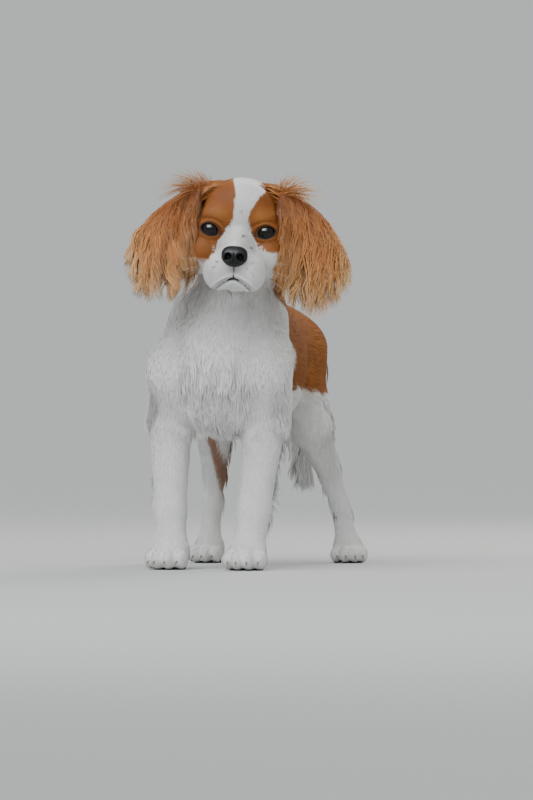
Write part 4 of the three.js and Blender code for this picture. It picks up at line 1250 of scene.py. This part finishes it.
# Tail. It hangs behind the thighs under a plume of locks, chestnut at its root and white below, which
# are longest halfway down and spread towards the dog's right.
TAIL_LOCKS, TAIL_STRANDS, TAIL_STEPS = 240, 10, 7
share = rng.uniform(0.04, 1.0, TAIL_LOCKS) ** 0.85
turn = rng.uniform(0, 2 * math.pi, TAIL_LOCKS)
lock = np.repeat(np.arange(TAIL_LOCKS), TAIL_STRANDS)
count = len(lock)
share = np.clip(share[lock] + 0.012 * rng.standard_normal(count), 0, 1)
turn = turn[lock] + 0.25 * rng.standard_normal(count)
onward = unit(along_way(TAIL_WAY, share + 0.01) - along_way(TAIL_WAY, share - 0.01))
first = unit(np.cross(onward, [1.0, 0, 0]))
out = unit(first * np.cos(turn)[:, None] + np.cross(onward, first) * np.sin(turn)[:, None])
spots = along_way(TAIL_WAY, share) + out * (7 - 5 * share)[:, None]
length = 20 + 32 * np.sin(math.pi * np.clip(share * 0.8, 0, 1)) ** 1.2
length *= rng.uniform(0.7, 1.05, TAIL_LOCKS)[lock]
length *= rng.uniform(0.85, 1.1, count)
lie = onward + 0.34 * out + np.array([-0.28, 0.0, -0.3]) * share[:, None]
lie = lie + (0.18 * rng.standard_normal((TAIL_LOCKS, 3)))[lock]
points, across = tufts(spots, out, lie, length, TAIL_STEPS, 0.20, 6.0, 2.6)
points = gathered(points, 9.0, 0.2)
base, _ = markings(spots)
# The plume's tones run lighter than the body coat's: painted light on a plume that hangs in the body's
# shadow.
woven("coat_tail", points, across, np.full(count, 1.3), np.c_[turn % 6.28 / 6.3, share * 0.96 + 0.02],
      shaded(base, TAIL_STEPS, 1.0, 1.1, 0.04), body_hair, 0.4)

# Ear hair. Long soft locks leave the flap's crest and face, fall in loose waves and fan out into a
# bell; they are deep orange at the root, sandy below and pale where the light comes through the edge.
ear_hair = hair_finish("ear_hair", 0.5, 800.0, 0.15, shine=0.3)
# Locks, the part of the flap they leave, and whether from its face (1) or its hollow (-1).
EAR_GROUPS = [(104, 0.0, 0.5, 1), (104, 0.3, 1.0, 1), (42, 0.25, 1.0, -1)]
EAR_STRANDS, EAR_STEPS = 12, 10


def to_side(points, across, side):
    """Blades made for the left ear, carried to either side of the turned head."""
    for values in (points, across):
        values[..., 0] *= side
    turned = (across.reshape(-1, 3) @ HEAD_TURN.T).reshape(across.shape)
    return from_head(points.reshape(-1, 3)).reshape(points.shape), turned


def drawn_in(points, strands, lock, pull):
    """Each lock's hairs drawn towards its middle line, the more the nearer the tip."""
    steps = points.shape[1]
    middle_line = points.reshape(-1, strands, steps, 3).mean(1)[lock]
    return points + (middle_line - points) * (pull * np.linspace(0, 1, steps)[None, :, None] ** 1.4)


for side, word in BOTH_SIDES:
    along = np.concatenate([rng.uniform(low, high, n) for n, low, high, _ in EAR_GROUPS])
    facing = np.concatenate([np.full(n, face) for n, _, _, face in EAR_GROUPS])
    locks = len(along)
    spread_share = rng.uniform(-1, 1, locks)
    lock = np.repeat(np.arange(locks), EAR_STRANDS)
    n = len(lock)
    a = np.clip(along[lock] + 0.04 * rng.standard_normal(n), 0, 1)
    b = np.clip(0.97 * spread_share[lock] + 0.10 * rng.standard_normal(n), -1, 1)
    spot, inward, onward, _ = ear_sheet(a, b)
    away = -inward * facing[lock][:, None]
    spot = spot + away * 1.0
    angle = np.radians(10 + 94 * spread_share + 5 * rng.standard_normal(locks))[lock]
    angle = angle + 0.08 * rng.standard_normal(n)
    reach = rng.uniform(0.80, 1.04, locks)[lock] * rng.uniform(0.90, 1.04, n)
    deep_in = rng.uniform(-0.1, 1.0, locks)[lock]
    aim = BELL + EAR_WIDE * (47 * np.sin(angle) * reach)[:, None]
    aim = aim + np.array([0, 0, -46.0]) * (np.cos(angle) * reach)[:, None]
    aim = aim + EAR_FRONT * (11 * deep_in * facing[lock] * (1 - 0.5 * np.abs(np.sin(angle))))[:, None]
    way = aim - spot
    far = np.linalg.norm(way, axis=1)
    most = rng.uniform(70, 114, locks)[lock]
    aim = spot + way * np.minimum(1, most / far)[:, None]
    far = np.minimum(far, most)
    bow = (3 + 9 * deep_in + 4 * (1 - a)) * np.where(facing[lock] > 0, 1, 0.6)
    rise = 0.22 * far * (1 - 0.5 * a) * (0.1 + 0.9 * step_up(b, -0.9, -0.1))
    middle_point = spot + 0.40 * (aim - spot) + onward * rise[:, None] + away * bow[:, None]
    t = np.linspace(0, 1, EAR_STEPS)[None, :, None]
    points = (1 - t) ** 2 * spot[:, None] + 2 * t * (1 - t) * middle_point[:, None] + t**2 * aim[:, None]
    run = unit(np.gradient(points, axis=1))
    beside = unit(np.cross(run, np.broadcast_to(away[:, None], run.shape)))
    phase = 2.6 * np.sin(2.1 * angle) + rng.normal(0, 0.5, locks)[lock] + 0.2 * rng.standard_normal(n)
    phase = phase[:, None, None]
    waves = far[:, None, None] / rng.uniform(25, 34, locks)[lock][:, None, None]
    swing = rng.uniform(2.4, 3.8, locks)[lock][:, None, None] * step_up(t, 0, 0.35)
    points = points + beside * (swing * np.sin(phase + 6.28 * waves * t))
    points = points + away[:, None] * (0.7 * swing * np.cos(phase + 6.28 * waves * t))
    frizz = rng.uniform(0, 6.28, n)[:, None, None]
    points = points + beside * (0.35 * t * np.sin(frizz + far[:, None, None] / 11 * 6.28 * t))
    points = drawn_in(points, EAR_STRANDS, lock, 0.40)
    outer = step_up(angle, 0.5, 1.5)[:, None, None]
    inner = step_up(-angle, 0.5, 1.2)[:, None, None]
    s = blade_share(EAR_STEPS)[None, :, None]
    warm = step_up(a[:, None, None] * 0.35 + s * 0.7, 0.08, 0.45)
    sandy = step_up(a[:, None, None] * 0.25 + s * 0.8 + 0.15 * outer, 0.4, 1.0)
    sandy = sandy * (0.55 + 0.35 * (deep_in * (facing[lock] > 0))[:, None, None])
    pale = step_up(s, 0.5, 1.05) * (0.38 + 0.57 * outer) * (1 - 0.7 * inner)
    colour = EAR_DEEP + (EAR_WARM - EAR_DEEP) * warm
    colour = colour + (EAR_SANDY - colour) * sandy
    colour = colour + (EAR_PALE - colour) * pale
    # Locks on the inner edge, against the cheek, are darkened and kept less pale: painted shade where the ear
    # hangs by the face.
    colour = colour * (1 - 0.25 * inner)
    own = (1 + 0.10 * rng.standard_normal(locks))[lock] * (1 + 0.10 * rng.standard_normal(n))
    colour = colour * np.clip(own, 0.6, 1.4)[:, None, None]
    points, beside = to_side(points, beside, side)
    lit = unit(away * (side, 1, 1) @ HEAD_TURN.T * (facing[lock] > 0)[:, None] + (0, -0.3, 0.6))
    place = np.c_[0.5 + 0.47 * b, 0.03 + 0.94 * a]
    woven("coat_ear_" + word, points, beside, rng.uniform(0.7, 1.15, n), place, colour, ear_hair,
          0.45, lit, 0.35)

# Temples. Soft locks sweep from the sides of the crown out over the roots of the ears and hide them;
# they are red at the root and pale at the tip.
def temple_weight(p):
    h = to_head(p)
    beside = step_up(np.abs(h[:, 0]), 16, 30) * step_up(h[:, 2], 22, 38)
    return beside * step_up(h[:, 1], 2, 14) * (1 - step_up(h[:, 1], 44, 60))


TEMPLE_LOCKS, TEMPLE_STRANDS, TEMPLE_STEPS = 230, 9, 7
root, out = roots_on(["head"], TEMPLE_LOCKS, temple_weight)
lock, spots = bunched(root, out, TEMPLE_STRANDS, 2.2)
h = to_head(root)
lean = rng.uniform(-0.1, 0.4, len(root)) - step_up(30 - h[:, 1], 0, 14) * rng.uniform(0.3, 1.4, len(root))
way = np.c_[np.sign(h[:, 0]), 0.35 + 0 * lean, lean] @ HEAD_TURN.T + 0.15 * rng.standard_normal(root.shape)
length = rng.uniform(24, 44, len(root))[lock] * rng.uniform(0.85, 1.1, len(lock))
points, across = tufts(spots, out[lock], way[lock], length, TEMPLE_STEPS, 0.34, 9.0, 2.0)
points = drawn_in(points, TEMPLE_STRANDS, lock, 0.4)
s = blade_share(TEMPLE_STEPS)[None, :, None]
colour = FACE_RED + (EAR_WARM - FACE_RED) * step_up(s, 0.0, 0.4)
colour = colour + (EAR_PALE - colour) * (0.7 * step_up(s, 0.45, 1.05))
colour = colour * (1 + 0.09 * rng.standard_normal(len(root)))[lock][:, None, None]
woven("coat_temples", points, across, np.full(len(lock), 0.95), head_map(spots), colour, ear_hair,
      0.4, out[lock], 0.4)

# Ear tops. Fine pale wisps stand off the crest of each ear, where its hair parts from the skull's,
# and break the outline.
WISPS, WISP_STEPS = 240, 7
for side, word in BOTH_SIDES:
    a, b = rng.uniform(0.02, 0.42, WISPS), rng.uniform(-0.9, 0.4, WISPS)
    spot, inward, onward, _ = ear_sheet(a, b)
    way = onward * rng.uniform(0.4, 1.0, WISPS)[:, None]
    way = way - inward * rng.uniform(0.15, 0.8, WISPS)[:, None]
    way = unit(way + 0.18 * rng.standard_normal((WISPS, 3)))
    reach = rng.uniform(14, 38, WISPS)[:, None, None]
    t = np.linspace(0, 1, WISP_STEPS)[None, :, None]
    points = spot[:, None] + way[:, None] * (reach * t) + np.array([0.15, 0, -0.32]) * (reach * t**2)
    across = np.repeat(unit(np.cross(way, -inward))[:, None], WISP_STEPS, 1)
    points = points + across * (0.9 * t * np.sin(rng.uniform(0, 6.28, WISPS)[:, None, None] + 6.28 * 0.9 * t))
    s = blade_share(WISP_STEPS)[None, :, None]
    colour = EAR_WARM + (EAR_PALE - EAR_WARM) * (0.75 * step_up(s, 0.2, 1.0))
    colour = colour * (1 + 0.1 * rng.standard_normal(WISPS))[:, None, None]
    points, across = to_side(points, across, side)
    place = np.c_[0.5 + 0.47 * b, 0.03 + 0.94 * a]
    woven("wisps_ear_" + word, points, across, np.full(WISPS, 0.75), place, colour, ear_hair,
          0.5)

# Whiskers and brow hairs. Single stiff hairs: pale ones in three rows on each lip, and finer brown
# ones over the eyes.
WHISKERS, BROW_HAIRS, WHISKER_STEPS = 9, 4, 10
roots, ways, reaches = [], [], []
for side in SIDES:
    for i in range(WHISKERS):
        roots.append((side * (17 + 2.2 * (i % 3)), -36 + 3.2 * (i % 3), -34 - 4.5 * (i // 3)))
        ways.append((side * (0.9 + 0.1 * (i % 3)), -0.1 + 0.12 * (i % 3), 0.12 - 0.3 * (i // 3)))
        reaches.append(30 + 3 * (i % 3))
    for i in range(BROW_HAIRS):
        roots.append((side * (24 + 3.0 * i), -9 + 1.2 * i, 16 + 0.8 * i))
        ways.append((side * (0.5 + 0.16 * i), -0.4, 0.55 - 0.12 * i))
        reaches.append(24 + 3 * i)
roots, ways, reaches = np.array(roots, float), unit(np.array(ways, float)), np.array(reaches, float)
roots = from_head(roots)
for _ in range(6):
    roots -= np.clip(flesh(roots), -4, 4)[:, None] * slope(flesh, roots)
ways = ways @ HEAD_TURN.T
s = np.linspace(0, 1, WHISKER_STEPS)[None, :, None]
points = roots[:, None] + ways[:, None] * (reaches[:, None, None] * s) - np.array([0, 0, 5.0]) * s**2
across = np.repeat(unit(np.cross(ways, [0.2, 0.3, 1.0]))[:, None], WHISKER_STEPS, 1)
whisker_hair = hair_finish("whisker_hair", 0.4, 900.0, 0.1)
tone = np.tile(np.repeat([[0.80, 0.72, 0.62], [0.50, 0.30, 0.13]], (WHISKERS, BROW_HAIRS), axis=0), (2, 1))
width = np.tile(np.repeat([0.24, 0.13], (WHISKERS, BROW_HAIRS)), 2)
woven("whiskers", points, across, width, head_map(roots), shaded(tone, WHISKER_STEPS, 0.9, 1.05, 0.03),
      whisker_hair, ridge=0.9)

# Studio. A pale floor, soft light from above and in front, a lamp behind that lights the edges of the
# coat and one that shows only in shine, as the glint in the eyes, seen with a long lens from the
# height of the dog's chest.
deselect()
bpy.ops.mesh.primitive_plane_add(size=60, location=(0, 0, 0))
floor = bpy.context.object
floor.name = "studio_floor"
floor_finish = blank_finish("pale_floor", {"Base Color": (0.515, 0.53, 0.525, 1), "Roughness": 0.9})
floor.data.materials.append(floor_finish[0])

world = bpy.data.worlds.new("studio")
world.use_nodes = True
backdrop = world.node_tree.nodes["Background"]
backdrop.inputs["Color"].default_value = (0.86, 0.89, 0.90, 1)
backdrop.inputs["Strength"].default_value = 0.64
bpy.context.scene.world = world


def aimed(name, data, spot, aim):
    held = bpy.data.objects.new(name, data)
    bpy.context.collection.objects.link(held)
    held.location = spot
    held.rotation_euler = (Vector(aim) - Vector(spot)).to_track_quat("-Z", "Y").to_euler()
    return held


sky = bpy.data.lights.new("overhead_softbox", "SUN")
sky.energy = 1.9
sky.angle = math.radians(60)
sky.color = (1.0, 0.99, 0.97)
aimed("overhead_softbox", sky, (-0.5, -1.6, 2.6), (0, 0, 0.2))
for label, spot, size, power, tone in (
    ("key_softbox", (0.2, -2.0, 1.6), (2.0, 1.2), 16, (0.95, 0.98, 1.0)),
    ("catch_light", (-0.3, -2.0, 1.7), (1.7, 1.1), 90, (0.80, 0.90, 1.0)),
    ("rim_lamp", (0.5, 1.4, 1.5), (0.8, 0.8), 16, (1.0, 0.94, 0.84)),
):
    lamp = bpy.data.lights.new(label, "AREA")
    lamp.shape = "RECTANGLE"
    lamp.size, lamp.size_y = size
    lamp.energy = power
    lamp.color = tone
    stand = aimed(label, lamp, spot, (0.02, -0.1, 0.33))
    stand.visible_diffuse = label != "catch_light"

CAMERA_TURN = math.radians(15)
CAMERA_REACH, CAMERA_SIDE, CAMERA_HEIGHT = 7.0, 0.0572, 0.215
HORIZON_UP = 35 / 6667
camera_data = bpy.data.cameras.new("camera")
camera_data.lens = 300
camera_data.sensor_width = 36
camera_data.clip_end = 60
camera = bpy.data.objects.new("camera", camera_data)
bpy.context.collection.objects.link(camera)
toward = np.array([-math.sin(CAMERA_TURN), math.cos(CAMERA_TURN), 0])
beside = np.array([math.cos(CAMERA_TURN), math.sin(CAMERA_TURN), 0])
camera.location = -CAMERA_REACH * toward + CAMERA_SIDE * beside + np.array([0, 0, CAMERA_HEIGHT]) + DRIFT * MM
gaze = Vector(toward * math.cos(HORIZON_UP) - np.array([0, 0, math.sin(HORIZON_UP)]))
camera.rotation_euler = gaze.to_track_quat("-Z", "Y").to_euler()
bpy.context.scene.camera = camera
